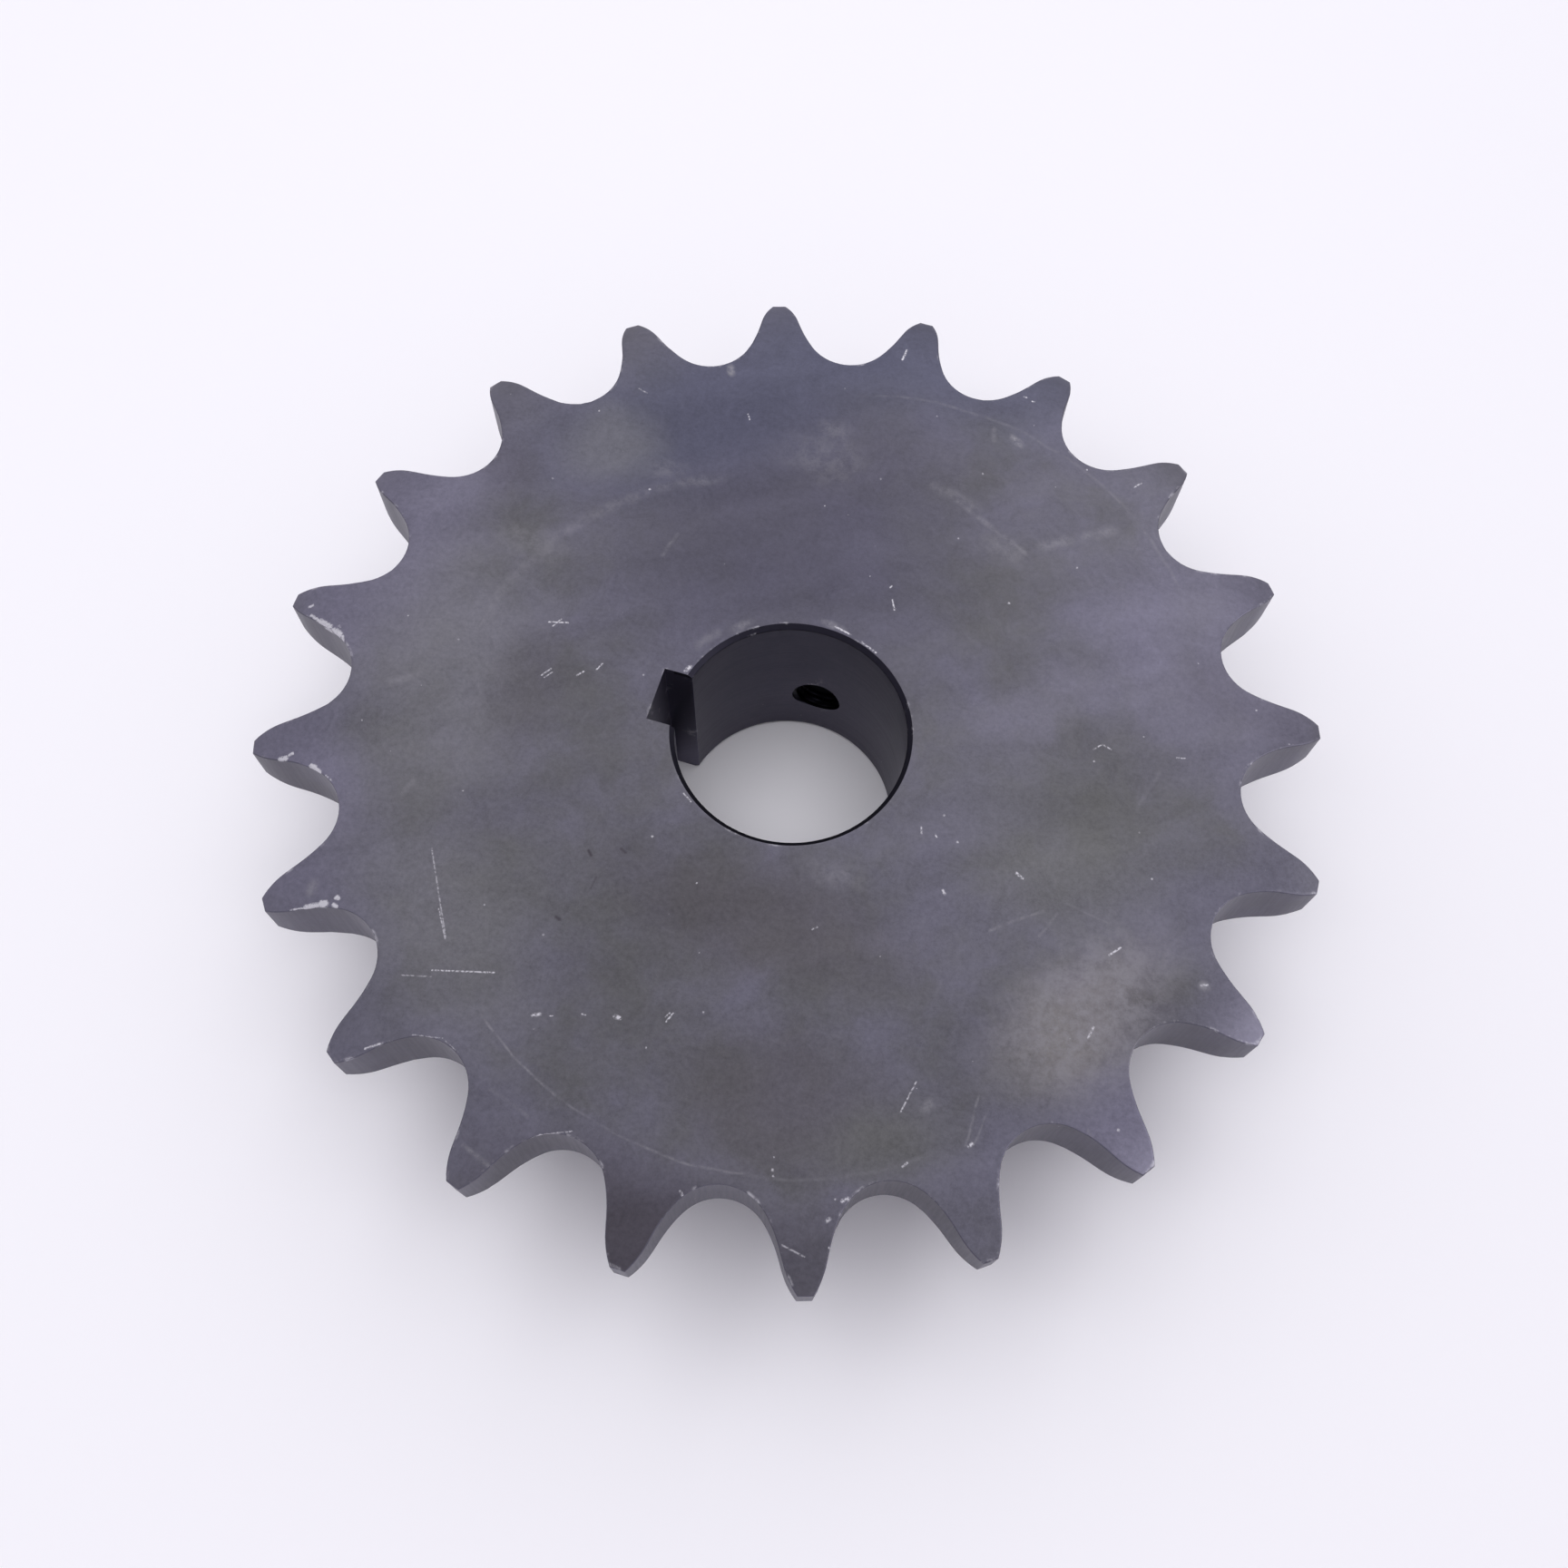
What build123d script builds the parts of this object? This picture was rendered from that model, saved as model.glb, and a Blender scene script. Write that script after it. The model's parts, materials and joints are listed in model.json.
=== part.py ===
from build123d import *
import os
from math import acos, atan2, cos, degrees, hypot, radians, sin, sqrt, tan

# A finished-bore sprocket for single-strand roller chain: a toothed plate with a hub on one side,
# bored and keyed for its shaft, and held on it by two socket set screws in the hub.
# Millimetres and degrees. The sprocket lies on the end of its hub: +Z is the shaft's axis, z = 0 is the
# hub's end face, and the toothed plate is on top. The keyway points to -X, under the middle of a tooth.

# Chain that the teeth fit
chain_pitch = 25.4
roller_diameter = 15.875
tooth_count = 20

# Standard tooth form: offsets and radii in roller diameters, with the cutting allowance in mm
seat_share = 0.5025
working_share = 0.8
topping_share = 1.4
form_allowance = 0.038
seat_angle = 35 + 60 / tooth_count
working_angle = 18 - 56 / tooth_count
topping_angle = 17 - 64 / tooth_count
tip_share = 0.6
cutter_run_out = 1.05

# Toothed plate and hub
length_through_bore = 38.1
plate_thickness = 14.2
relief_reach = 12.7
relief_depth = 3.2
hub_diameter = 101.6
hub_edge_chamfer = 1.6
hub_root_fillet = 2.4

# Bore and keyway
bore_diameter = 38.1
bore_chamfer = 0.8
key_width = 9.525
key_seat_depth = 4.76
keyway_angle = 180

# Set screws and their tapped holes: one over the keyway, one a quarter turn away, against the shaft.
# Hole and screw meet at the thread's mean diameter.
thread_diameter = 9.525
tapped_hole_diameter = 8.5
screw_clearance = 0.05
screw_height = 12.7
screw_spacing = 90
screw_length = 19.05
screw_recess = 2.5
screw_end_chamfer = 0.9
cup_diameter = 4.8
cup_depth = 1.0
socket_width = 4.76
socket_depth = 6.0
mouth_clearance = 0.5
mouth_angle = 90

# Worked out from the above
tooth_angle = 360 / tooth_count
half_tooth = radians(tooth_angle / 2)
pitch_radius = chain_pitch / 2 / sin(half_tooth)
tip_radius = chain_pitch / 2 * (tip_share + 1 / tan(half_tooth))
flat_radius = tip_radius - relief_reach
plate_back = length_through_bore - plate_thickness
back_tip = plate_back + relief_depth
front_tip = length_through_bore - relief_depth
hub_radius = hub_diameter / 2
bore_radius = bore_diameter / 2
keyway_floor = sqrt(bore_radius**2 - (key_width / 2) ** 2) + key_seat_depth
tapped_hole_radius = tapped_hole_diameter / 2
mouth_radius = thread_diameter / 2 + mouth_clearance
screw_radius = tapped_hole_radius - screw_clearance


def polar(center, radius, angle):
    """The point at a radius and an angle in degrees from a centre."""
    return (center[0] + radius * cos(radians(angle)), center[1] + radius * sin(radians(angle)))


def radial_plane(angle, radius, height):
    """A plane that faces outward along the radius at an angle round the shaft's axis."""
    outward = (cos(radians(angle)), sin(radians(angle)), 0)
    across = (-outward[1], outward[0], 0)
    origin = (radius * outward[0], radius * outward[1], height)
    return Plane(origin=origin, x_dir=across, z_dir=outward)


# Tooth space, drawn as the standard does: Y runs outward through the seated roller's centre.
# Half of it is a seat that holds the roller, a hollow working flank, a short straight flank and a
# rounded topping curve out to the tip. Beyond the tip it runs out of the blank.
roller_center = (0, pitch_radius)
seat_radius = seat_share * roller_diameter + form_allowance
working_offset = working_share * roller_diameter
working_center = polar(roller_center, working_offset, 180 - seat_angle)
working_radius = seat_radius + working_offset
flank_angle = seat_angle - working_angle
topping_offset = topping_share * roller_diameter
topping_center = polar(roller_center, topping_offset, -tooth_angle / 2)
topping_radius = (
    working_offset * cos(radians(working_angle))
    + topping_offset * cos(radians(topping_angle))
    - working_radius
)

# The topping curve starts square to the straight flank and ends where it reaches the tip circle.
topping_start = 180 - flank_angle
axis_distance = hypot(*topping_center)
axis_direction = degrees(atan2(-topping_center[1], -topping_center[0]))
tip_cosine = (axis_distance**2 + topping_radius**2 - tip_radius**2) / (2 * axis_distance * topping_radius)
tip_direction = axis_direction - degrees(acos(tip_cosine))
topping_sweep = (tip_direction - topping_start) % -360

with BuildSketch() as tooth_space:
    with BuildLine():
        CenterArc(roller_center, seat_radius, -90, 90 - seat_angle)
        working = CenterArc(working_center, working_radius, -seat_angle, working_angle)
        topping = CenterArc(topping_center, topping_radius, topping_start, topping_sweep)
        Line(working @ 1, topping @ 0)
        run_out = Line(topping @ 1, (topping @ 1) * cutter_run_out)
        Line(run_out @ 1, (0, (run_out @ 1).Y))
        mirror(about=Plane.YZ)
    make_face()

# Sprocket body: one blank turned all over, then toothed, keyed and tapped.
with BuildPart() as sprocket_body:
    # The blank's section, from the bore outward. The plate's faces curve in towards the tips, so that the
    # chain's side plates find their way on.
    with BuildSketch(Plane.XZ) as blank_section:
        with BuildLine():
            turned = Polyline(
                (flat_radius, plate_back),
                (hub_radius, plate_back),
                (hub_radius, 0),
                (bore_radius, 0),
                (bore_radius, length_through_bore),
                (flat_radius, length_through_bore),
            )
            front_relief = TangentArc(turned @ 1, (tip_radius, front_tip), tangent=(1, 0))
            back_relief = TangentArc(turned @ 0, (tip_radius, back_tip), tangent=(1, 0))
            Line(front_relief @ 1, back_relief @ 1)
        make_face()
        fillet(blank_section.vertices().sort_by_distance((hub_radius, plate_back))[0], hub_root_fillet)
        chamfer(blank_section.vertices().sort_by_distance((hub_radius, 0))[0], hub_edge_chamfer)
        for bore_end in ((bore_radius, 0), (bore_radius, length_through_bore)):
            chamfer(blank_section.vertices().sort_by_distance(bore_end)[0], bore_chamfer)
    revolve(axis=Axis.Z)

    # Tooth spaces right round the plate, with a tooth over the keyway.
    with BuildSketch(Plane.XY.offset(plate_back)):
        with PolarLocations(0, tooth_count, start_angle=keyway_angle + tooth_angle / 2 - 90):
            add(tooth_space.sketch)
    extrude(amount=plate_thickness, mode=Mode.SUBTRACT)

    # Keyway, broached through from end to end.
    with BuildSketch():
        with PolarLocations(0, 1, start_angle=keyway_angle):
            Rectangle(keyway_floor, key_width, align=(Align.MIN, Align.CENTER))
    extrude(amount=length_through_bore, mode=Mode.SUBTRACT)

    # Tapped holes from the hub's side into the keyway and the bore, each with a countersunk mouth.
    for angle in (keyway_angle, keyway_angle - screw_spacing):
        with Locations(radial_plane(angle, hub_radius, screw_height)):
            CounterSinkHole(tapped_hole_radius, mouth_radius, hub_radius, counter_sink_angle=mouth_angle)

sprocket_body.part.label = "sprocket_body"

# One set screw, standing on its cup point, with its socket on top.
with BuildPart() as set_screw:
    with BuildSketch():
        Circle(screw_radius)
    extrude(amount=screw_length)
    chamfer(set_screw.edges().filter_by(GeomType.CIRCLE), screw_end_chamfer)
    with Locations(Plane((0, 0, cup_depth / 2))):
        Cone(cup_diameter / 2, 0, cup_depth, mode=Mode.SUBTRACT)
    with BuildSketch(Plane.XY.offset(screw_length)):
        RegularPolygon(socket_width / 2, 6, major_radius=False)
    extrude(amount=-socket_depth, mode=Mode.SUBTRACT)

# Both set screws, backed off from what they press on.
screw_seats = (
    radial_plane(keyway_angle, keyway_floor + screw_recess, screw_height),
    radial_plane(keyway_angle - screw_spacing, bore_radius + screw_recess, screw_height),
)
with BuildPart() as set_screws:
    with Locations(*screw_seats):
        add(set_screw.part)

set_screws.part.label = "set_screws"

os.makedirs("parts", exist_ok=True)
export_step(sprocket_body.part, "parts/sprocket_body.step")
export_step(set_screws.part, "parts/set_screws.step")
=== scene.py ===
# %% [markdown]
# # A chain sprocket in black oxide
# The object is a finished-bore sprocket for roller chain: a toothed plate with a hub under it, turned
# from one blank, then hobbed, bored, keyed and tapped for two set screws. This lesson gives the plain
# construction its real look. First comes the fixed frame: every solid is imported where it belongs, in
# metres, and the new pieces are made in that same place, so nothing has to be fitted afterwards.

# %% Load the fixed frame
import json
import math

import bmesh
import bpy
import numpy as np
from mathutils import Matrix, Vector


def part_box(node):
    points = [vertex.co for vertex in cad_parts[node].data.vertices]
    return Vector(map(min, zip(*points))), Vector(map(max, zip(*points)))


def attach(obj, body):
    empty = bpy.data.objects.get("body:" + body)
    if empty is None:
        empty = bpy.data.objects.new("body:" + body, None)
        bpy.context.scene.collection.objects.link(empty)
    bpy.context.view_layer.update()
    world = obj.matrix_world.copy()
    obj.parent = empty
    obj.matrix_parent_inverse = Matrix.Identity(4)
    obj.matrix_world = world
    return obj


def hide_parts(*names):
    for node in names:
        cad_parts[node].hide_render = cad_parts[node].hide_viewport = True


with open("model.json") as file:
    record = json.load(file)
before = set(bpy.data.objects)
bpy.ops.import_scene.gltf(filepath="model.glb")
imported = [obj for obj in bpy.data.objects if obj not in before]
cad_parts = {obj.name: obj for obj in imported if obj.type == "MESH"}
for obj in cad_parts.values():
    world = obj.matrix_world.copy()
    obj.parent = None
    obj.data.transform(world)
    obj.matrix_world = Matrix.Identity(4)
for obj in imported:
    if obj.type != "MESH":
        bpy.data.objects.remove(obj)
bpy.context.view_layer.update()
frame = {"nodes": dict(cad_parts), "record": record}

mm = 0.001
print("nodes in the frame:", sorted(frame["nodes"]))

# %% [markdown]
# ## Camera
# The sprocket lies on its hub and is seen from above, turned a little, with the keyway to the left. A
# camera can be aimed with a Track To constraint, but a matrix made from its three axes is exact and
# leaves nothing live. The axes are worked out from a turn round the shaft's axis, a height above the
# floor and a small roll, and the camera stands back along the axis that it looks along.

# %% Place the camera
camera_turn = math.radians(14.416)
camera_height = math.radians(67.513)
camera_roll = math.radians(2.472)
camera_distance = 264.055 * mm
camera_slide = Vector((-1.154, -8.579)) * mm
lens_length = 37.251
sensor_width = 36

plate_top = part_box("sprocket_body")[1].z
level = math.cos(camera_height)
backward = Vector((math.sin(camera_turn) * level, -math.cos(camera_turn) * level, math.sin(camera_height)))
flat_right = Vector((math.cos(camera_turn), math.sin(camera_turn), 0))
flat_up = backward.cross(flat_right)
right = math.cos(camera_roll) * flat_right + math.sin(camera_roll) * flat_up
up = backward.cross(right)
aim = Vector((0, 0, plate_top)) + right * camera_slide.x + up * camera_slide.y
stand = aim + backward * camera_distance

camera = bpy.data.objects.new("camera", bpy.data.cameras.new("camera"))
camera.data.lens = lens_length
camera.data.sensor_width = sensor_width
camera.data.clip_start = 10 * mm
camera.matrix_world = Matrix.Translation(stand) @ Matrix((right, up, backward)).transposed().to_4x4()
bpy.context.scene.collection.objects.link(camera)
bpy.context.scene.camera = camera
bpy.context.scene.view_settings.view_transform = "Standard"
print("camera stands at", tuple(round(c / mm, 1) for c in stand), "mm")

# %% [markdown]
# ## Nodes from code
# Geometry Nodes and shader nodes are wired in the same way, so a few helpers serve the whole lesson. One
# adds a node and fills its inputs, and one turns a recipe into a named group, which other trees can use
# like a tool. A small class wraps each output, so that fields are added and multiplied like numbers, and
# the code reads like the formula behind it.

# %% Helpers for node trees
VECTOR, GEOMETRY, MATERIAL = "NodeSocketVector", "NodeSocketGeometry", "NodeSocketMaterial"
KIND_OF_DEFAULT = {int: "NodeSocketInt", float: "NodeSocketFloat", tuple: VECTOR}
KIND_OF_RESULT = {"VALUE": "NodeSocketFloat", "VECTOR": VECTOR, "GEOMETRY": GEOMETRY}


class Field:
    """An output of a node, to reckon with: the signs + - * / add a Math or a Vector Math node."""

    def __init__(self, socket):
        self.socket = socket
        self.tree = socket.id_data
        self.is_vector = socket.type in ("VECTOR", "RGBA")


# a + b calls __add__, or __radd__ where only b is a field, and so on for the other signs
for sign, operation in (("add", "ADD"), ("sub", "SUBTRACT"), ("mul", "MULTIPLY"), ("truediv", "DIVIDE")):
    setattr(Field, f"__{sign}__", lambda one, other, does=operation: maths(does, one, other))
    setattr(Field, f"__r{sign}__", lambda one, other, does=operation: maths(does, other, one))


def fields(node):
    """All outputs of a node by their names."""
    return {socket.name: Field(socket) for socket in node.outputs}


def fill(socket, value):
    """Gives an input a field, several fields or a plain value."""
    if isinstance(value, list):
        for each in value:
            fill(socket, each)
    elif isinstance(value, Field):
        socket.id_data.links.new(value.socket, socket)
    else:
        socket.default_value = value


def place(tree, kind, *first, **named):
    """Adds a node and fills its inputs, in order or by name. A name in small letters is a setting."""
    node = tree.nodes.new(kind)
    node.location = (200 * len(tree.nodes), 0)
    inputs = dict(enumerate(first))
    for name, value in named.items():
        if name[0].islower():
            setattr(node, name, value)
        else:
            inputs[name.replace("_", " ")] = value
    for name, value in inputs.items():
        fill(node.inputs[name], value)
    return node


def output(tree, kind, *first, **named):
    """The first output of a new node."""
    return Field(place(tree, kind, *first, **named).outputs[0])


def node_group(name, kind, **inputs):
    """Builds a group from the recipe under it. An input is given by its kind or by its default value."""

    def build(recipe):
        tree = bpy.data.node_groups.new(name, kind + "NodeTree")
        for label, default in inputs.items():
            sort = KIND_OF_DEFAULT.get(type(default), default)
            socket = tree.interface.new_socket(label.replace("_", " "), in_out="INPUT", socket_type=sort)
            if sort is not default:
                socket.default_value = default
        results = recipe(tree, fields(tree.nodes.new("NodeGroupInput")))
        for label, field in results.items():
            sort = KIND_OF_RESULT[field.socket.type]
            tree.interface.new_socket(label, in_out="OUTPUT", socket_type=sort)
        place(tree, "NodeGroupOutput", *results.values())
        print(f"made the group {name} with {len(tree.nodes)} nodes")
        return tree

    return build


def use(tree, group, **values):
    """Places a group in a tree. Returns its outputs by their names."""
    return fields(place(tree, group.bl_idname.replace("Tree", "Group"), node_tree=group, **values))


# %% [markdown]
# Nodes for sums come up all the time, so each has a one-word helper. A vector and a number use different
# nodes, and the helper picks the right one by looking at what it is given.

# %% Helpers for sums on fields
def tree_of(values):
    """The tree that the first field in a row of values belongs to."""
    return next(value.tree for value in values if isinstance(value, Field))


def maths(operation, *values):
    """The result of a Math node, or of a Vector Math node where a value is a vector."""
    if not any(isinstance(value, Field) and value.is_vector for value in values):
        return output(tree_of(values), "ShaderNodeMath", *values, operation=operation)
    node = place(tree_of(values), "ShaderNodeVectorMath", *values, operation=operation)
    number = operation in ("DOT_PRODUCT", "LENGTH", "DISTANCE")
    return fields(node)["Value" if number else "Vector"]


def scaled(vector, amount):
    """A vector or a colour times a number."""
    return output(vector.tree, "ShaderNodeVectorMath", vector, Scale=amount, operation="SCALE")


def split(vector):
    """The three parts of a vector."""
    return list(fields(place(vector.tree, "ShaderNodeSeparateXYZ", vector)).values())


def joined(*parts):
    """A vector from three parts."""
    return output(tree_of(parts), "ShaderNodeCombineXYZ", *parts)


def ramp(value, start, end, low=0.0, high=1.0):
    """A value carried smoothly from start..end to low..high. This kind holds at both ends by itself."""
    settings = {"interpolation_type": "SMOOTHSTEP", "clamp": False}
    return output(value.tree, "ShaderNodeMapRange", value, start, end, low, high, **settings)


# %% [markdown]
# ## The tooth's outline
# A chain sprocket's tooth isn't free-hand. The standard form is four curves: a seat that holds the
# roller, a hollow working flank, a short straight flank and a rounded topping curve up to the tip. Their
# radii come from the roller's diameter and the number of teeth, by the shares and the angles in degrees
# that the standard gives. Half a tooth is drawn here with arcs from those rules and mirrored later, and
# each point keeps the direction that faces out of the steel, because rounding the edges needs it.

# %% Tooth form
chain_pitch = 25.4
roller_diameter = 15.875
tooth_count = 20
seat_share = 0.5025
working_share = 0.8
topping_share = 1.4
form_allowance = 0.038
seat_angle = 35 + 60 / tooth_count
working_angle = 18 - 56 / tooth_count
topping_angle = 17 - 64 / tooth_count

lowest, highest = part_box("sprocket_body")
tip_radius = (highest.x - lowest.x) / 2 / mm
length_through_bore = (highest.z - lowest.z) / mm
tooth_angle = 360 / tooth_count
half_tooth = math.radians(tooth_angle / 2)
pitch_radius = chain_pitch / 2 / math.sin(half_tooth)
print(f"tips at {tip_radius:.3f} mm, rollers at {pitch_radius:.3f} mm from the axis")


def point_at(center, radius, angle):
    """The point at a radius and an angle in degrees from a centre."""
    return center + radius * np.array([math.cos(math.radians(angle)), math.sin(math.radians(angle))])


def arc(center, radius, start, sweep, steps):
    """Points along an arc in degrees, and the direction away from its centre at each."""
    angles = np.radians(np.linspace(start, start + sweep, steps + 1))
    away = np.column_stack((np.cos(angles), np.sin(angles)))
    return center + radius * away, away


# %% Half a tooth space, drawn with Y outward through the seated roller
seat_steps = 8
working_steps = 5
flank_steps = 2
topping_steps = 6
corner_steps = 2
land_steps = 1
tip_corner = 0.22

roller_center = np.array([0, pitch_radius])
seat_radius = seat_share * roller_diameter + form_allowance
working_offset = working_share * roller_diameter
working_center = point_at(roller_center, working_offset, 180 - seat_angle)
working_radius = seat_radius + working_offset
flank_angle = seat_angle - working_angle
topping_offset = topping_share * roller_diameter
topping_center = point_at(roller_center, topping_offset, -tooth_angle / 2)
topping_radius = (
    working_offset * math.cos(math.radians(working_angle))
    + topping_offset * math.cos(math.radians(topping_angle))
    - working_radius
)
topping_start = 180 - flank_angle
center_distance = math.hypot(*topping_center)
toward_axis = math.degrees(math.atan2(-topping_center[1], -topping_center[0]))
tip_cosine = center_distance**2 + topping_radius**2 - tip_radius**2
tip_cosine = tip_cosine / (2 * center_distance * topping_radius)
topping_sweep = (toward_axis - math.degrees(math.acos(tip_cosine)) - topping_start) % -360


def half_outline():
    """Half a tooth from the bottom of the space to the middle of the tip: points and directions."""
    seat, from_roller = arc(roller_center, seat_radius, -90, 90 - seat_angle, seat_steps)
    working, from_working = arc(working_center, working_radius, -seat_angle, working_angle, working_steps)
    corner = point_at(topping_center, topping_radius, topping_start + topping_sweep)
    outward_flank = point_at(np.zeros(2), 1, topping_start + topping_sweep)
    outward_land = corner / np.hypot(*corner)
    turn = math.acos(outward_flank @ outward_land)
    cut = tip_corner * math.tan(turn / 2)
    trimmed = topping_sweep + math.degrees(cut / topping_radius)
    topping, from_topping = arc(topping_center, topping_radius, topping_start, trimmed, topping_steps)
    flank = np.linspace(working[-1], topping[0], flank_steps + 1)
    flank_out = np.repeat(from_topping[:1], flank_steps + 1, axis=0)
    shares = np.linspace(0, 1, corner_steps + 1)[1:, None]
    bend = outward_flank * (1 - shares) + outward_land * shares
    bend = bend / np.linalg.norm(bend, axis=1)[:, None]
    corner_center = topping[-1] - tip_corner * from_topping[-1]
    rounded = corner_center + tip_corner * bend
    middle = point_at(np.zeros(2), 1, 90 - tooth_angle / 2)
    points = np.vstack((seat, working[1:], flank[1:], topping[1:], rounded, middle[None] * tip_radius))
    up_to_corner = (-from_roller, -from_working[1:], flank_out[1:], from_topping[1:])
    outward = np.vstack((*up_to_corner, bend, middle[None]))
    return points, outward


half_points, half_outward = half_outline()
print(f"half a tooth has {len(half_points)} points, root at {half_points[0][1]:.2f} mm")

# %% [markdown]
# ## One tooth's share of the blank
# The blank is turned and every tooth is alike, so one slice of it is enough: an eighteen-degree wedge
# with a whole tooth in its middle. It could be extruded and bevelled, but the plate's faces curve in
# towards the tips and every edge is broken by a fraction of a millimetre, and both are exact when the
# slice is laid out row by row, like a cloth over the section. Rows sit close together beside each edge so
# that smooth shading stays flat on the flats.

# %% Sizes of the blank
plate_thickness = 14.2
relief_reach = 12.7
relief_depth = 3.2
hub_radius = 50.8
hub_edge_chamfer = 1.6
hub_root_fillet = 2.4
bore_radius = next(m["dims"]["r_mm"] for m in frame["record"]["mounts"] if m["name"] == "shaft_bore")
bore_chamfer = 0.8
edge_round = 0.22
small_round = 0.12
beside_edge = 0.3
ring_radius = 65.0
flat_radius = tip_radius - relief_reach
relief_radius = (relief_reach**2 + relief_depth**2) / (2 * relief_depth)
plate_back = length_through_bore - plate_thickness
plate_middle = length_through_bore - plate_thickness / 2
coarse_steps = 16
print(f"plate from {plate_back:.2f} mm up, faces flat to a radius of {flat_radius:.2f} mm")


def front_height(radius):
    """Height of the plate's upper face, which curves down from the flat towards the tips."""
    past_flat = np.maximum(radius - flat_radius, 0)
    return length_through_bore - relief_radius + np.sqrt(relief_radius**2 - past_flat**2)


# %% Slice: rows from the flat of the upper face, over the tooth's edge, to the middle of its wall
def full_outline():
    """The whole tooth from space to space, on the +X side of the axis: points and outward directions."""
    sides = []
    for local in (half_points, half_outward):
        outward = np.array([math.cos(-half_tooth), math.sin(-half_tooth)])
        across = np.array([math.sin(half_tooth), math.cos(half_tooth)])
        side = local[:, 1:] * outward + local[:, :1] * across
        sides.append(np.vstack((side, side[-2::-1] * (1, -1))))
    return sides


outline, outline_outward = full_outline()
fine_steps = len(outline) - 1
ring_angles = np.linspace(-half_tooth, half_tooth, fine_steps + 1)
ring = ring_radius * np.column_stack((np.cos(ring_angles), np.sin(ring_angles)))
round_steps = 4
ring_shares = (1, 0.86, 0.72, 0.58, 0.45, 0.33, 0.22, 0.12, 0.05)


def lifted(flat_points, drop=0.0):
    """Flat points raised to the plate's upper face, less a drop."""
    heights = front_height(np.hypot(*flat_points.T)) - drop
    return np.column_stack((flat_points, heights))


def beside_the_edge():
    """The row beside the edge, with its points spread evenly over the tip, where they would cross."""
    row = outline - outline_outward * (edge_round + beside_edge)
    tip = len(half_points) - 1
    before = tip - land_steps - corner_steps - 1
    for first, last in ((before, tip), (tip, 2 * tip - before)):
        shares = np.linspace(0, 1, last - first + 1)[:, None]
        row[first : last + 1] = row[first] * (1 - shares) + row[last] * shares
    return row


def upper_rows():
    """Rows from the ring out and over the edge, each with how far toward the tooth and on the edge it is."""
    start = beside_the_edge()
    rows = [(lifted(start + (ring - start) * share), 1 - share, 0.0) for share in ring_shares]
    rows.append((lifted(start), 1.0, 0.0))
    for step in range(round_steps + 1):
        angle = math.radians(90 - 90 * step / round_steps)
        inset = edge_round * (1 - math.cos(angle))
        drop = edge_round * (1 - math.sin(angle))
        rows.append((lifted(outline - outline_outward * inset, drop), 1.0, 1.0))
    rows.append((lifted(outline, edge_round + beside_edge), 1.0, 0.0))
    return rows


def mirrored(rows):
    """The same rows under the plate's middle, in the opposite order."""
    lower = []
    for points, toothward, edge in reversed(rows):
        flipped = points * (1, 1, -1) + (0, 0, 2 * plate_middle)
        lower.append((flipped, toothward, edge))
    return lower


top_rows = upper_rows()
middle_row = (np.column_stack((outline, np.full(len(outline), plate_middle))), 1.0, 0.0)
tooth_rows = top_rows + [middle_row] + mirrored(top_rows)
print(f"{len(tooth_rows)} rows of {fine_steps + 1} points over the tooth")

# %% [markdown]
# The rest of the slice is plain turning: a section of straight lines with a fillet under the plate,
# chamfers at the hub's end and at both mouths of the bore, and a small radius wherever two faces meet. A
# section can be spun with a Screw modifier, but here it has to meet the tooth's rows exactly, so it uses
# every third column of them.

# %% Slice: the turned section, from the upper face round through the bore and the hub to the lower face
def rounded_section(corners, longest):
    """A section of straight lines with a radius at each corner, and whether each point is on an edge."""
    places = [np.array(corner[:2], float) for corner in corners]
    points = [(places[0], 0.0)]
    for before, here, after, radius in zip(places, places[1:], places[2:], [c[2] for c in corners[1:]]):
        arriving = (here - before) / np.linalg.norm(here - before)
        leaving = (after - here) / np.linalg.norm(after - here)
        turn = math.acos(np.clip(arriving @ leaving, -1, 1))
        cut = radius * math.tan(turn / 2)
        side = math.copysign(1, arriving[0] * leaving[1] - arriving[1] * leaving[0])
        center = here - arriving * cut + side * radius * np.array([-arriving[1], arriving[0]])
        begin = math.atan2(*(here - arriving * cut - center)[::-1])
        steps = max(3, math.ceil(math.degrees(turn) / 12))
        straight_to(points, here - arriving * (cut + beside_edge), longest)
        is_edge = float(radius < hub_root_fillet)
        for step in range(steps + 1):
            angle = begin + side * turn * step / steps
            points.append((center + radius * np.array([math.cos(angle), math.sin(angle)]), is_edge))
        points.append((here + leaving * (cut + beside_edge), 0.0))
    straight_to(points, places[-1], longest)
    return points


def straight_to(points, end, longest):
    """Adds points along a straight line, no further apart than the longest step."""
    start = points[-1][0]
    count = max(1, math.ceil(np.linalg.norm(end - start) / longest))
    for step in range(1, count + 1):
        points.append((start + (end - start) * step / count, 0.0))


section = rounded_section(
    [
        (ring_radius, length_through_bore, 0),
        (bore_radius + bore_chamfer, length_through_bore, small_round),
        (bore_radius, length_through_bore - bore_chamfer, small_round),
        (bore_radius, bore_chamfer, small_round),
        (bore_radius + bore_chamfer, 0, small_round),
        (hub_radius - hub_edge_chamfer, 0, small_round),
        (hub_radius, hub_edge_chamfer, small_round),
        (hub_radius, plate_back, hub_root_fillet),
        (ring_radius, plate_back, 0),
    ],
    longest=4.0,
)
print(f"the turned section has {len(section)} points")


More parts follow.
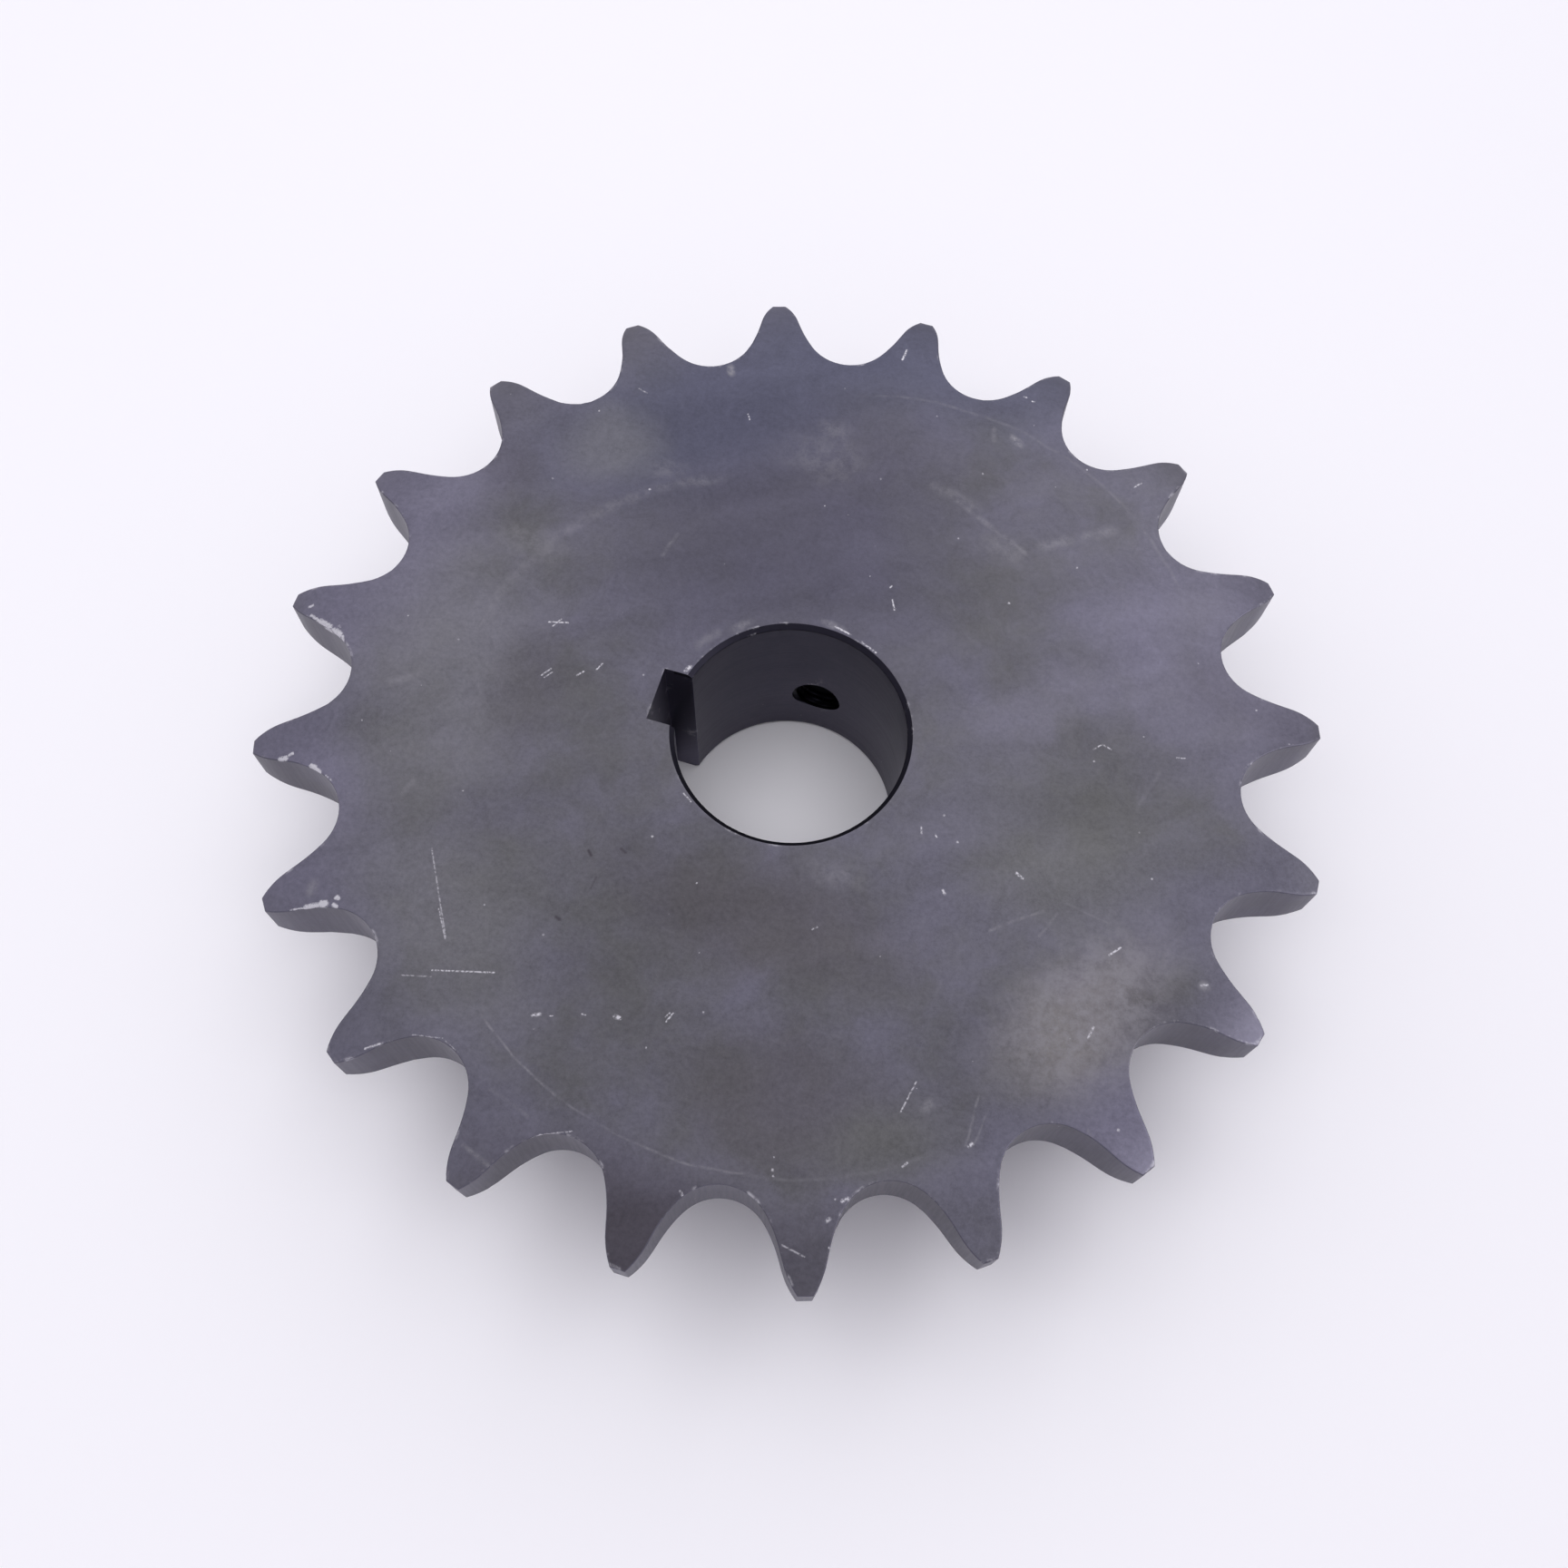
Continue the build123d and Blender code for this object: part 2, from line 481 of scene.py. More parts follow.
# %% Slice: make the mesh
def tooth_slice():
    """One tooth's share of the blank as a mesh, with the attributes toothward and edge at each point."""
    coarse = slice(None, None, fine_steps // coarse_steps)
    angles = ring_angles[coarse]
    around = np.column_stack((np.cos(angles), np.sin(angles), np.ones(len(angles))))
    turned = [(around * (radius, radius, height), 0.0, edge) for (radius, height), edge in section[1:-1]]
    points, toothward, edges, rows = [], [], [], []
    for row_points, row_toothward, row_edge in tooth_rows + turned[::-1]:
        rows.append(list(range(len(points), len(points) + len(row_points))))
        points.extend(row_points * mm)
        toothward.extend([row_toothward] * len(row_points))
        edges.extend([row_edge] * len(row_points))
    faces = []
    tooth_part, turned_part = rows[: len(tooth_rows)], rows[len(tooth_rows) :]
    for part in (tooth_part, turned_part):
        for near, far in zip(part, part[1:]):
            faces += [(near[i], far[i], far[i + 1], near[i + 1]) for i in range(len(near) - 1)]
    faces += seam(tooth_part[-1], turned_part[0])
    faces += [face[::-1] for face in seam(tooth_part[0], turned_part[-1])]
    mesh = bpy.data.meshes.new("tooth_slice")
    mesh.from_pydata(points, [], faces)
    for name, values in (("toothward", toothward), ("edge", edges)):
        mesh.attributes.new(name, "FLOAT", "POINT").data.foreach_set("value", values)
    return mesh


def seam(fine_row, coarse_row):
    """Faces that join a row to one with fewer points: each takes several steps of the fine row."""
    each = (len(fine_row) - 1) // (len(coarse_row) - 1)
    faces = []
    for i in range(len(coarse_row) - 1):
        stretch = fine_row[i * each : (i + 1) * each + 1]
        faces.append((*reversed(stretch), coarse_row[i], coarse_row[i + 1]))
    return faces


slice_mesh = tooth_slice()
print(f"one slice has {len(slice_mesh.polygons)} faces")

# %% [markdown]
# ## Threads
# The tapped holes and their set screws share one thread, sixteen to the inch. A thread can be made with a
# Screw modifier, but its ends then need closing. Here a closed cylinder is pushed in and out by a rule
# instead: the radius depends on how far a point is along the helix. One Geometry Nodes group holds the
# rule. The same group with slightly larger sizes cuts the hole, and with smaller ones it is the screw.

# %% Group: a threaded rod
thread_pitch = 25.4 / 16
thread_columns = 40
rows_to_a_turn = 8
flank_starts = 0.06
flank_ends = 0.42


@node_group(
    "Threaded Rod",
    "Geometry",
    Length=19.05 * mm,
    Crest_Radius=4.7 * mm,
    Root_Radius=4.05 * mm,
    Thread_Pitch=thread_pitch * mm,
    End_Chamfer=0.9 * mm,
    Columns=thread_columns,
)
def threaded_rod(tree, given):
    """A closed threaded rod that stands on z = 0. Its ends taper in by the chamfer."""
    length, pitch, crest = given["Length"], given["Thread Pitch"], given["Crest Radius"]
    sizes = {"Vertices": given["Columns"], "Side Segments": length / pitch * rows_to_a_turn}
    rod = output(tree, "GeometryNodeMeshCylinder", **sizes, Radius=1.0, Depth=length, fill_type="NGON")
    x, y, z = split(output(tree, "GeometryNodeInputPosition"))
    helix = z / pitch - maths("ARCTAN2", y, x) / (2 * math.pi)
    flank = ramp(maths("PINGPONG", helix, 0.5), flank_starts, flank_ends)
    radius = maths("MULTIPLY_ADD", flank, crest - given["Root Radius"], given["Root Radius"])
    half = length * 0.5
    from_end = half - maths("ABSOLUTE", z)
    radius = maths("MINIMUM", radius, crest - given["End Chamfer"] + from_end)
    spot = joined(x * radius, y * radius, z) + joined(0.0, 0.0, half)
    return {"Rod": output(tree, "GeometryNodeSetPosition", Geometry=rod, Position=spot)}


# %% [markdown]
# A hole or a screw is modelled upright and then laid on its side, so that its axis points out from the
# shaft at some angle and height. That turn is the same for all of them, so it is a small group too.


# %% Group: point a part outward
def moved(geometry, **how):
    """A part turned and then shifted."""
    return output(geometry.tree, "GeometryNodeTransform", geometry, **how)


@node_group("Point Outward", "Geometry", Part=GEOMETRY, Angle=math.pi, Radius=20 * mm, Height=12.7 * mm)
def point_outward(tree, given):
    """Lays an upright part down so that its +Z points away from the shaft, starting at a radius."""
    out = joined(given["Radius"], 0.0, given["Height"])
    laid = moved(given["Part"], Translation=out, Rotation=(0, math.pi / 2, 0))
    return {"Part": moved(laid, Rotation=joined(0.0, 0.0, given["Angle"]))}


# %% [markdown]
# ## The sprocket's group
# This is the main piece, and it follows the order of the shop. The slice is repeated round the axis and
# its seams are welded, which is the turned and hobbed blank. Small nicks are knocked into the tooth edges
# by a seeded noise. Then a Mesh Boolean cuts the keyway and both tapped holes with their countersunk
# mouths. Edges are marked sharp by their angle, every point learns how near it is to a sharp edge, and
# the materials are set by where a face is and which way it looks.

# %% Sizes of the keyway and the holes
key_width = 9.525
key_seat_depth = 4.76
keyway_floor = math.sqrt(bore_radius**2 - (key_width / 2) ** 2) + key_seat_depth
keyway_angle = 180
shaft_screw_angle = 90
screw_height = 12.7
hole_crest = 9.525 / 2
hole_root = 4.13
mouth_sides = 64
mouth_radius = hole_crest + 0.5
mouth_inner_radius = 3.0
mouth_depth = mouth_radius - mouth_inner_radius
clearance_past = 2.0
print(f"the keyway's floor is {keyway_floor:.2f} mm from the axis")


# %% [markdown]
# The blank is the slice, repeated. Instances cost nothing, but a Boolean needs real faces, so they are
# realised and welded where they touch. The nicks are dents in the tooth edges, as deep as a noise says.

# %% The blank: teeth and nicks
weld_distance = 0.002
nick_scale = 650.0
nicks_from = 0.6
nicks_full = 0.78


def repeated_teeth(tree, given):
    """The slice copied round the axis and welded into one blank."""
    points = output(tree, "GeometryNodePoints", Count=given["Teeth"])
    turn = output(tree, "GeometryNodeInputIndex") * (2 * math.pi / given["Teeth"])
    values = {"Points": points, "Instance": given["Tooth Slice"], "Rotation": joined(0.0, 0.0, turn)}
    copies = output(tree, "GeometryNodeInstanceOnPoints", **values)
    plain = output(tree, "GeometryNodeRealizeInstances", copies)
    return output(tree, "GeometryNodeMergeByDistance", Geometry=plain, Distance=weld_distance * mm)


def named(tree, attribute):
    """A named attribute of the mesh, as a number."""
    return output(tree, "GeometryNodeInputNamedAttribute", Name=attribute, data_type="FLOAT")


def nicked_edges(tree, given, geometry):
    """Small dents along the tooth edges, pushed in against the surface where a noise peaks."""
    position = output(tree, "GeometryNodeInputPosition")
    values = {"Vector": position, "W": given["Seed"], "Scale": nick_scale, "Detail": 1.0}
    ripple = output(tree, "ShaderNodeTexNoise", **values, noise_dimensions="4D")
    on_edge = named(tree, "edge") * named(tree, "toothward")
    depth = ramp(ripple, nicks_from, nicks_full) * on_edge * given["Nick Depth"]
    push = scaled(output(tree, "GeometryNodeInputNormal"), depth * -1.0)
    return output(tree, "GeometryNodeSetPosition", Geometry=geometry, Offset=push)


# %% [markdown]
# The cutters are plain closed shapes that reach a little past the steel, because faces that lie exactly
# on each other make a Boolean fail. After the cut, the angle between two faces tells which edges are
# sharp, and the nearness to a sharp edge is kept at every point, because the film wears there.

# %% Cuts and edges
sharp_angle = 32
near_an_edge = 0.4


def cone(tree, sides, top, bottom, depth):
    """A closed cone with its sizes in millimetres."""
    sizes = {"Radius Top": top * mm, "Radius Bottom": bottom * mm, "Depth": depth * mm}
    return output(tree, "GeometryNodeMeshCone", Vertices=sides, **sizes, fill_type="NGON")


def cut_from(geometry, cutters):
    """What is left of a mesh when the cutters are taken away."""
    meshes = {"Mesh 1": geometry, "Mesh 2": cutters}
    how = {"operation": "DIFFERENCE", "solver": "MANIFOLD"}
    return output(geometry.tree, "GeometryNodeMeshBoolean", **meshes, **how)


def keyway(tree, given):
    """The box that cuts the keyway."""
    tall = (length_through_bore + 2 * clearance_past) * mm
    size = joined(given["Keyway Floor"], given["Key Width"], tall)
    middle = joined(given["Keyway Floor"] * 0.5, 0.0, length_through_bore / 2 * mm)
    beside = moved(output(tree, "GeometryNodeMeshCube", Size=size), Translation=middle)
    return moved(beside, Rotation=joined(0.0, 0.0, given["Keyway Angle"]))


def tapped_hole(tree, given, angle, start):
    """The shapes that cut one tapped hole: a threaded rod and the cone of its mouth."""
    sizes = {name: given["Hole " + name] for name in ("Crest Radius", "Root Radius")}
    length = (hub_radius + clearance_past - start) * mm
    pitch = given["Thread Pitch"]
    rod = use(tree, threaded_rod, Length=length, Thread_Pitch=pitch, End_Chamfer=0.0, **sizes)["Rod"]
    wide, deep = mouth_radius + clearance_past, mouth_depth + clearance_past
    mouth = cone(tree, mouth_sides, wide, mouth_inner_radius, deep)
    cutters = []
    for part, radius in ((rod, start), (mouth, hub_radius - mouth_depth)):
        spot = {"Angle": angle, "Radius": radius * mm, "Height": given["Screw Height"]}
        cutters.append(use(tree, point_outward, Part=part, **spot)["Part"])
    return cutters


def store(geometry, name, value):
    """Keeps a number at every point under a name that materials can read."""
    values = {"Geometry": geometry, "Name": name, "Value": value}
    return output(geometry.tree, "GeometryNodeStoreNamedAttribute", **values, data_type="FLOAT")


def marked_edges(tree, geometry):
    """Smooth faces that break at sharp edges, with nearness to an edge added to the edge attribute."""
    angle = output(tree, "GeometryNodeInputMeshEdgeAngle")
    sharp = maths("GREATER_THAN", angle, math.radians(sharp_angle))
    smooth = output(tree, "GeometryNodeSetShadeSmooth", Geometry=geometry, domain="FACE")
    values = {"Geometry": smooth, "Selection": sharp, "Shade Smooth": False}
    broken = output(tree, "GeometryNodeSetShadeSmooth", **values, domain="EDGE")
    edges = output(tree, "GeometryNodeSeparateGeometry", geometry, Selection=sharp, domain="EDGE")
    away = fields(place(tree, "GeometryNodeProximity", edges, target_element="EDGES"))["Distance"]
    nearness = ramp(away, near_an_edge * mm, 0.0)
    return store(broken, "edge", maths("MAXIMUM", nearness, named(tree, "edge")))


# %% [markdown]
# A material is set by a selection. Here the selections are sums on the face's place and direction: the
# plate's upper face, the walls of the teeth, and everything else, which was turned.

# %% Finishes
level_enough = 0.8


def from_axis(x, y):
    """The distance from the shaft's axis."""
    return maths("LENGTH", joined(x, y, 0.0))


def coat(geometry, material, selection=True):
    """Sets a material on the selected faces."""
    values = {"Geometry": geometry, "Selection": selection, "Material": material}
    return output(geometry.tree, "GeometryNodeSetMaterial", **values)


def three_finishes(tree, given, geometry):
    """The turned finish, and over it those of the tooth walls and of the plate's upper face."""
    x, y, z = split(output(tree, "GeometryNodeInputPosition"))
    normal_z = split(output(tree, "GeometryNodeInputNormal"))[2]
    outside = maths("GREATER_THAN", from_axis(x, y), ring_radius * mm)
    looks_level = maths("LESS_THAN", maths("ABSOLUTE", normal_z), level_enough)
    looks_up = maths("GREATER_THAN", normal_z, level_enough)
    high_up = maths("GREATER_THAN", z, plate_middle * mm)
    turned = coat(geometry, given["Turned Finish"])
    walled = coat(turned, given["Tooth Finish"], outside * looks_level)
    return coat(walled, given["Face Finish"], looks_up * high_up)


# %% Group: the sprocket
@node_group(
    "Sprocket",
    "Geometry",
    Tooth_Slice=GEOMETRY,
    Teeth=tooth_count,
    Nick_Depth=0.12 * mm,
    Seed=3.0,
    Key_Width=key_width * mm,
    Keyway_Floor=keyway_floor * mm,
    Keyway_Angle=math.radians(keyway_angle),
    Shaft_Screw_Angle=math.radians(shaft_screw_angle),
    Screw_Height=screw_height * mm,
    Thread_Pitch=thread_pitch * mm,
    Hole_Crest_Radius=hole_crest * mm,
    Hole_Root_Radius=hole_root * mm,
    Face_Finish=MATERIAL,
    Tooth_Finish=MATERIAL,
    Turned_Finish=MATERIAL,
)
def sprocket_group(tree, given):
    """The blank with its teeth, keyway and tapped holes, in three finishes."""
    blank = nicked_edges(tree, given, repeated_teeth(tree, given))
    key_hole = tapped_hole(tree, given, given["Keyway Angle"], keyway_floor - clearance_past)
    shaft_hole = tapped_hole(tree, given, given["Shaft Screw Angle"], bore_radius - clearance_past)
    cut = cut_from(blank, [keyway(tree, given), *key_hole, *shaft_hole])
    finished = three_finishes(tree, given, marked_edges(tree, cut))
    return {"Sprocket": output(tree, "GeometryNodeRealizeInstances", finished)}


# %% [markdown]
# ## Set screws
# Each screw is a short threaded rod with a hexagon socket in the outer end and a cup point at the inner
# end, where it bites into the key or the shaft. The group takes the threaded rod and cuts both ends with
# a six-sided prism and shallow cones. The cup's cone sticks out of the screw as far as it reaches in, so
# it is made twice as wide and twice as deep.

# %% Group: a socket set screw
screw_length = 19.05
screw_recess = 2.5
drill_sides = 32
drill_radius = 2.1
drill_cone = 1.2
drill_overlap = 0.05
cup_sides = 48
cup_radius = 2.4
cup_depth = 1.0


@node_group(
    "Set Screw",
    "Geometry",
    Start=GEOMETRY,
    Length=screw_length * mm,
    Crest_Radius=4.68 * mm,
    Root_Radius=4.05 * mm,
    Thread_Pitch=thread_pitch * mm,
    End_Chamfer=0.9 * mm,
    Socket_Width=4.76 * mm,
    Socket_Depth=6.0 * mm,
    Angle=math.pi,
    Inner_End=25.0 * mm,
    Height=screw_height * mm,
    Finish=MATERIAL,
)
def set_screw_group(tree, given):
    """A set screw, pointed outward from the shaft at its angle and height."""
    names = ("Length", "Crest Radius", "Root Radius", "Thread Pitch", "End Chamfer")
    rod = use(tree, threaded_rod, **{name: given[name] for name in names})["Rod"]
    past = clearance_past * mm
    tall = given["Socket Depth"] + past
    prism = {"Vertices": 6, "Radius": given["Socket Width"] / (2 * math.cos(math.pi / 6)), "Depth": tall}
    prism = output(tree, "GeometryNodeMeshCylinder", **prism, fill_type="NGON")
    socket = moved(prism, Translation=joined(0.0, 0.0, given["Length"] + past - tall * 0.5))
    bottom = given["Length"] - given["Socket Depth"] - (drill_cone - drill_overlap) * mm
    drill = cone(tree, drill_sides, drill_radius, 0.0, drill_cone)
    drilled = moved(drill, Translation=joined(0.0, 0.0, bottom))
    dish = cone(tree, cup_sides, 0.0, 2 * cup_radius, 2 * cup_depth)
    cup = moved(dish, Translation=(0, 0, -cup_depth * mm))
    finished = marked_edges(tree, store(cut_from(rod, [socket, drilled, cup]), "edge", 0.0))
    values = {"Angle": given["Angle"], "Radius": given["Inner End"], "Height": given["Height"]}
    laid = use(tree, point_outward, Part=finished, **values)["Part"]
    return {"Screw": coat(output(tree, "GeometryNodeRealizeInstances", laid), given["Finish"])}


# %% [markdown]
# ## Shared finishes
# Black oxide isn't a flat black. The bath leaves slow clouds of blue, olive and violet, handling leaves
# pale scuffs and scratches, and the film thins on the edges. Each of these effects is one shader group
# that any material can use with its own values. They all work in millimetres on Object coordinates, so a
# mark can be placed where it belongs on the part.

# %% Helpers for shader groups
MIXED_COLOURS = (6, 7)
MIX_RESULT = 2
MIDDLE_GREY = (0.5, 0.5, 0.5)


def blend(amount, below, above):
    """One colour over another by an amount. A Mix node keeps its colour sockets after other kinds."""
    node = place(amount.tree, "ShaderNodeMix", amount, data_type="RGBA")
    for number, colour in zip(MIXED_COLOURS, (below, above)):
        fill(node.inputs[number], colour)
    return Field(node.outputs[MIX_RESULT])


def noise(position, scale, detail=2.0, roughness=0.5, swirl=0.0):
    """A noise from 0 to 1 at so many ripples a millimetre. The swirl drags it into wisps."""
    values = {"Scale": scale, "Detail": detail, "Roughness": roughness, "Distortion": swirl}
    return output(position.tree, "ShaderNodeTexNoise", Vector=position, **values)


def wander(position, reach, **values):
    """A drift to all sides, from the three colours of a noise."""
    node = place(position.tree, "ShaderNodeTexNoise", Vector=position, **values)
    return scaled(fields(node)["Color"] - MIDDLE_GREY, reach)


def turned_by(vector, angle):
    """A vector turned round the shaft's axis."""
    return output(vector.tree, "ShaderNodeVectorRotate", vector, Angle=angle, rotation_type="Z_AXIS")


def strongest(so_far, mask, strength=1.0):
    """A mask laid over the others so far. Each is added as it is made, so that few are held at once."""
    if strength != 1.0:
        mask = mask * strength
    return mask if so_far is None else maths("MAXIMUM", so_far, mask)


def ink(red, green, blue):
    """A colour given as it looks on a screen, 0 to 255, as the linear colour that shaders use."""
    parts = [part / 255 for part in (red, green, blue)]
    return (*[p / 12.92 if p <= 0.04045 else ((p + 0.055) / 1.055) ** 2.4 for p in parts], 1)


# %% [markdown]
# The clouds come first. One slow noise drifts the coordinates, so that patches have ragged rims and not
# clean ovals. Bands lie across the plate where it was wiped, and a fine noise is the grain of the film.

# %% Groups: oxide clouds and soft patch
@node_group("Oxide Clouds", "Shader", Position=VECTOR, Drift=9.0, Band_Turn=math.radians(-28))
def oxide_clouds(tree, given):
    """Slow clouds, wiped bands and fine grain, and the coordinates drifted for ragged patches."""
    position = given["Position"]
    drifted = position + wander(position, given["Drift"], Scale=0.06, Detail=3.0)
    band_ripples = (0.016, 0.09, 0.05)
    stretched = turned_by(drifted, given["Band Turn"]) * band_ripples
    return {
        "Drifted": drifted,
        "Clouds": ramp(noise(drifted, scale=0.045, detail=4.0, roughness=0.6), start=0.3, end=0.7),
        "Bands": ramp(noise(stretched, scale=1.0, detail=3.0), start=0.3, end=0.7),
        "Grain": noise(position, scale=1.2, detail=4.0, roughness=0.8),
    }


@node_group(
    "Soft Patch",
    "Shader",
    Position=VECTOR,
    Centre=VECTOR,
    Half_Size=(10, 10, 1000),
    Turn=0.0,
    Core=0.2,
)
def soft_patch(tree, given):
    """An oval patch that fades out to its rim."""
    turned = turned_by(given["Position"] - given["Centre"], given["Turn"] * -1.0)
    return {"Mask": ramp(maths("LENGTH", turned / given["Half Size"]), 1.0, given["Core"])}


# %% [markdown]
# A scratch is a straight line with soft sides, and a scuff is part of a ring, left when another round
# part was stacked on the plate and turned. Both are distances: to a line between two points, and to a
# circle. The film is broken unevenly, so the materials multiply them by a noise of their own.

# %% Groups: scratch and scuffed ring
@node_group("Scratch", "Shader", Position=VECTOR, From=VECTOR, To=VECTOR, Width=0.3)
def scratch(tree, given):
    """A line between two points that is as wide as the width and soft to both sides."""
    away = given["Position"] - given["From"]
    run = given["To"] - given["From"]
    along = maths("DOT_PRODUCT", away, run) / maths("DOT_PRODUCT", run, run)
    along = maths("MINIMUM", maths("MAXIMUM", along, 0.0), 1.0)
    return {"Mask": ramp(maths("DISTANCE", away, scaled(run, along)), given["Width"], 0.0)}


@node_group(
    "Scuffed Ring",
    "Shader",
    Position=VECTOR,
    Centre=VECTOR,
    Radius=60.0,
    Width=0.8,
    Toward=(1, 0, 0),
    Half_Sweep=math.radians(40),
)
def scuffed_ring(tree, given):
    """Part of a ring round a centre, fading out to both sides of the direction that it lies in."""
    away = given["Position"] - given["Centre"]
    line = ramp(maths("ABSOLUTE", maths("LENGTH", away) - given["Radius"]), given["Width"], 0.0)
    off = maths("ARCCOSINE", maths("DOT_PRODUCT", maths("NORMALIZE", away), given["Toward"]))
    fades_from = given["Half Sweep"] * 0.75
    return {"Mask": line * ramp(off, given["Half Sweep"], fades_from)}


# %% [markdown]
# Specks are tiny flakes and pin-pricks in the film. A Voronoi texture gives one cell to each, a random
# colour in the cell decides whether it has a speck and how large, and a little noise makes it ragged. An
# edge wears where a noise lets it.

# %% Groups: specks and worn edges
@node_group("Specks", "Shader", Position=VECTOR, Spacing=3.0, Size=0.2, Share=0.3, Raggedness=0.3)
def specks(tree, given):
    """Small ragged dots: so far apart, so large, and in so large a share of the places."""
    position = given["Position"]
    ragged = position + wander(position, given["Raggedness"], Scale=3.0)
    cell = fields(place(tree, "ShaderNodeTexVoronoi", Vector=ragged, Scale=1.0 / given["Spacing"]))
    chance, growth, _ = split(cell["Color"])
    there = maths("LESS_THAN", chance, given["Share"])
    smallest = 0.3
    growth = maths("MULTIPLY_ADD", growth, 1 - smallest, smallest)
    size = given["Size"] * growth / given["Spacing"]
    return {"Mask": ramp(cell["Distance"], size, 0.0) * there}


@node_group("Worn Edge", "Shader", Position=VECTOR, Edge=0.0, Amount=0.5, Patch_Scale=0.25)
def worn_edge(tree, given):
    """Where the film is rubbed off an edge: the nearness to the edge, broken up by a noise."""
    patches = noise(given["Position"], given["Patch Scale"], detail=4.0, roughness=0.7)
    least = 1.0 - given["Amount"]
    softness = 0.18
    return {"Mask": given["Edge"] * ramp(patches, least, least + softness)}


# %% [markdown]
# The cutting tools leave their own grain under the film: rings on whatever was turned and fine lines
# along the shaft's axis on the teeth. One group makes both from a stretched noise, because rings are
# lines in the distance from the axis and the height.

# %% Group: tool marks
@node_group("Tool Marks", "Shader", Position=VECTOR, Lines=2.5)
def tool_marks(tree, given):
    """Heights of fine rings round the axis, and of lines along it."""
    x, y, z = split(given["Position"])
    angle = maths("ARCTAN2", y, x)
    across = (from_axis(x, y) + z) * given["Lines"]
    around = joined(across, maths("COSINE", angle), maths("SINE", angle))
    drawn_out = given["Position"] * (1.0, 1.0, 0.05)
    return {
        "Rings": noise(around, scale=1.0, detail=3.0),
        "Lines": noise(drawn_out, given["Lines"], detail=3.0),
    }


# %% [markdown]
# ## Black oxide on the plate's face
# The face is what the eye rests on. Its colour is mixed like washes of paint: olive grey underneath, blue
# black toward the back, a violet tint that follows the teeth and a rubbed, warm patch. Some washes are
# painted light and painted shade: pale violet lightens the sides and single teeth, and a deep shade
# darkens the front teeth and a few others. Over that lie the pale marks and a few dark dings. The grain
# of the film varies the roughness, and a Bump node gives the grain and the dings a little relief.

# %% Material helpers
def new_material(name):
    """A material with its tree and shader, and the position on the part in millimetres."""
    material = bpy.data.materials.new(name)
    material.use_nodes = True
    tree = material.node_tree
    on_part = fields(place(tree, "ShaderNodeTexCoord"))["Object"]
    return material, tree, tree.nodes["Principled BSDF"], on_part * (1 / mm, 1 / mm, 1 / mm)


def attribute(tree, name):
    """A named attribute of the mesh, as a number."""
    return fields(place(tree, "ShaderNodeAttribute", attribute_name=name))["Fac"]


def worn(tree, position, amount):
    """The mask of the worn edges, by the attribute that the mesh carries."""
    return use(tree, worn_edge, Position=position, Edge=attribute(tree, "edge"), Amount=amount)["Mask"]


def dress(shader, colour, roughness, height, depth):
    """Gives a shader the look of filmed metal. The height is a bump of so many metres."""
    bump = output(colour.tree, "ShaderNodeBump", Height=height, Distance=depth, Strength=1.0)
    looks = {"Base Color": colour, "Metallic": 1.0, "Roughness": roughness, "Normal": bump}
    for name, value in looks.items():
        fill(shader.inputs[name], value)


# %% [markdown]
# The washes are ovals of tint on the face, drawn with their place, half size, turn and strength in
# millimetres and degrees from the shaft's axis. A later wash lies over an earlier one, as with a brush.
# The pale violet washes are painted light and the deep shade washes are painted shade.

# %% Inks and washes
olive = ink(93, 92, 95)
tooth_violet = ink(103, 101, 114)
blue_black = ink(80, 81, 98)
violet_black = ink(78, 76, 90)
umber = ink(86, 83, 87)
moss = ink(97, 97, 94)
# painted light: lightens the sides of the face and single teeth
painted_light_lavender = ink(117, 114, 131)
# painted shade on the face: darkens the front teeth and single teeth; also the dirt in the dark dings
painted_shade_and_dirt = ink(70, 66, 72)
rubbed = ink(134, 129, 124)
pale_film = ink(119, 118, 122)
scuffed = ink(138, 136, 142)
bare_mark = ink(196, 194, 200)
# painted glare: lightens the keyway's side walls
painted_glare_violet = ink(92, 88, 108)
# painted shade: darkens the bore's chamfer and the inside of the tapped hole
pitch = ink(20, 20, 24)

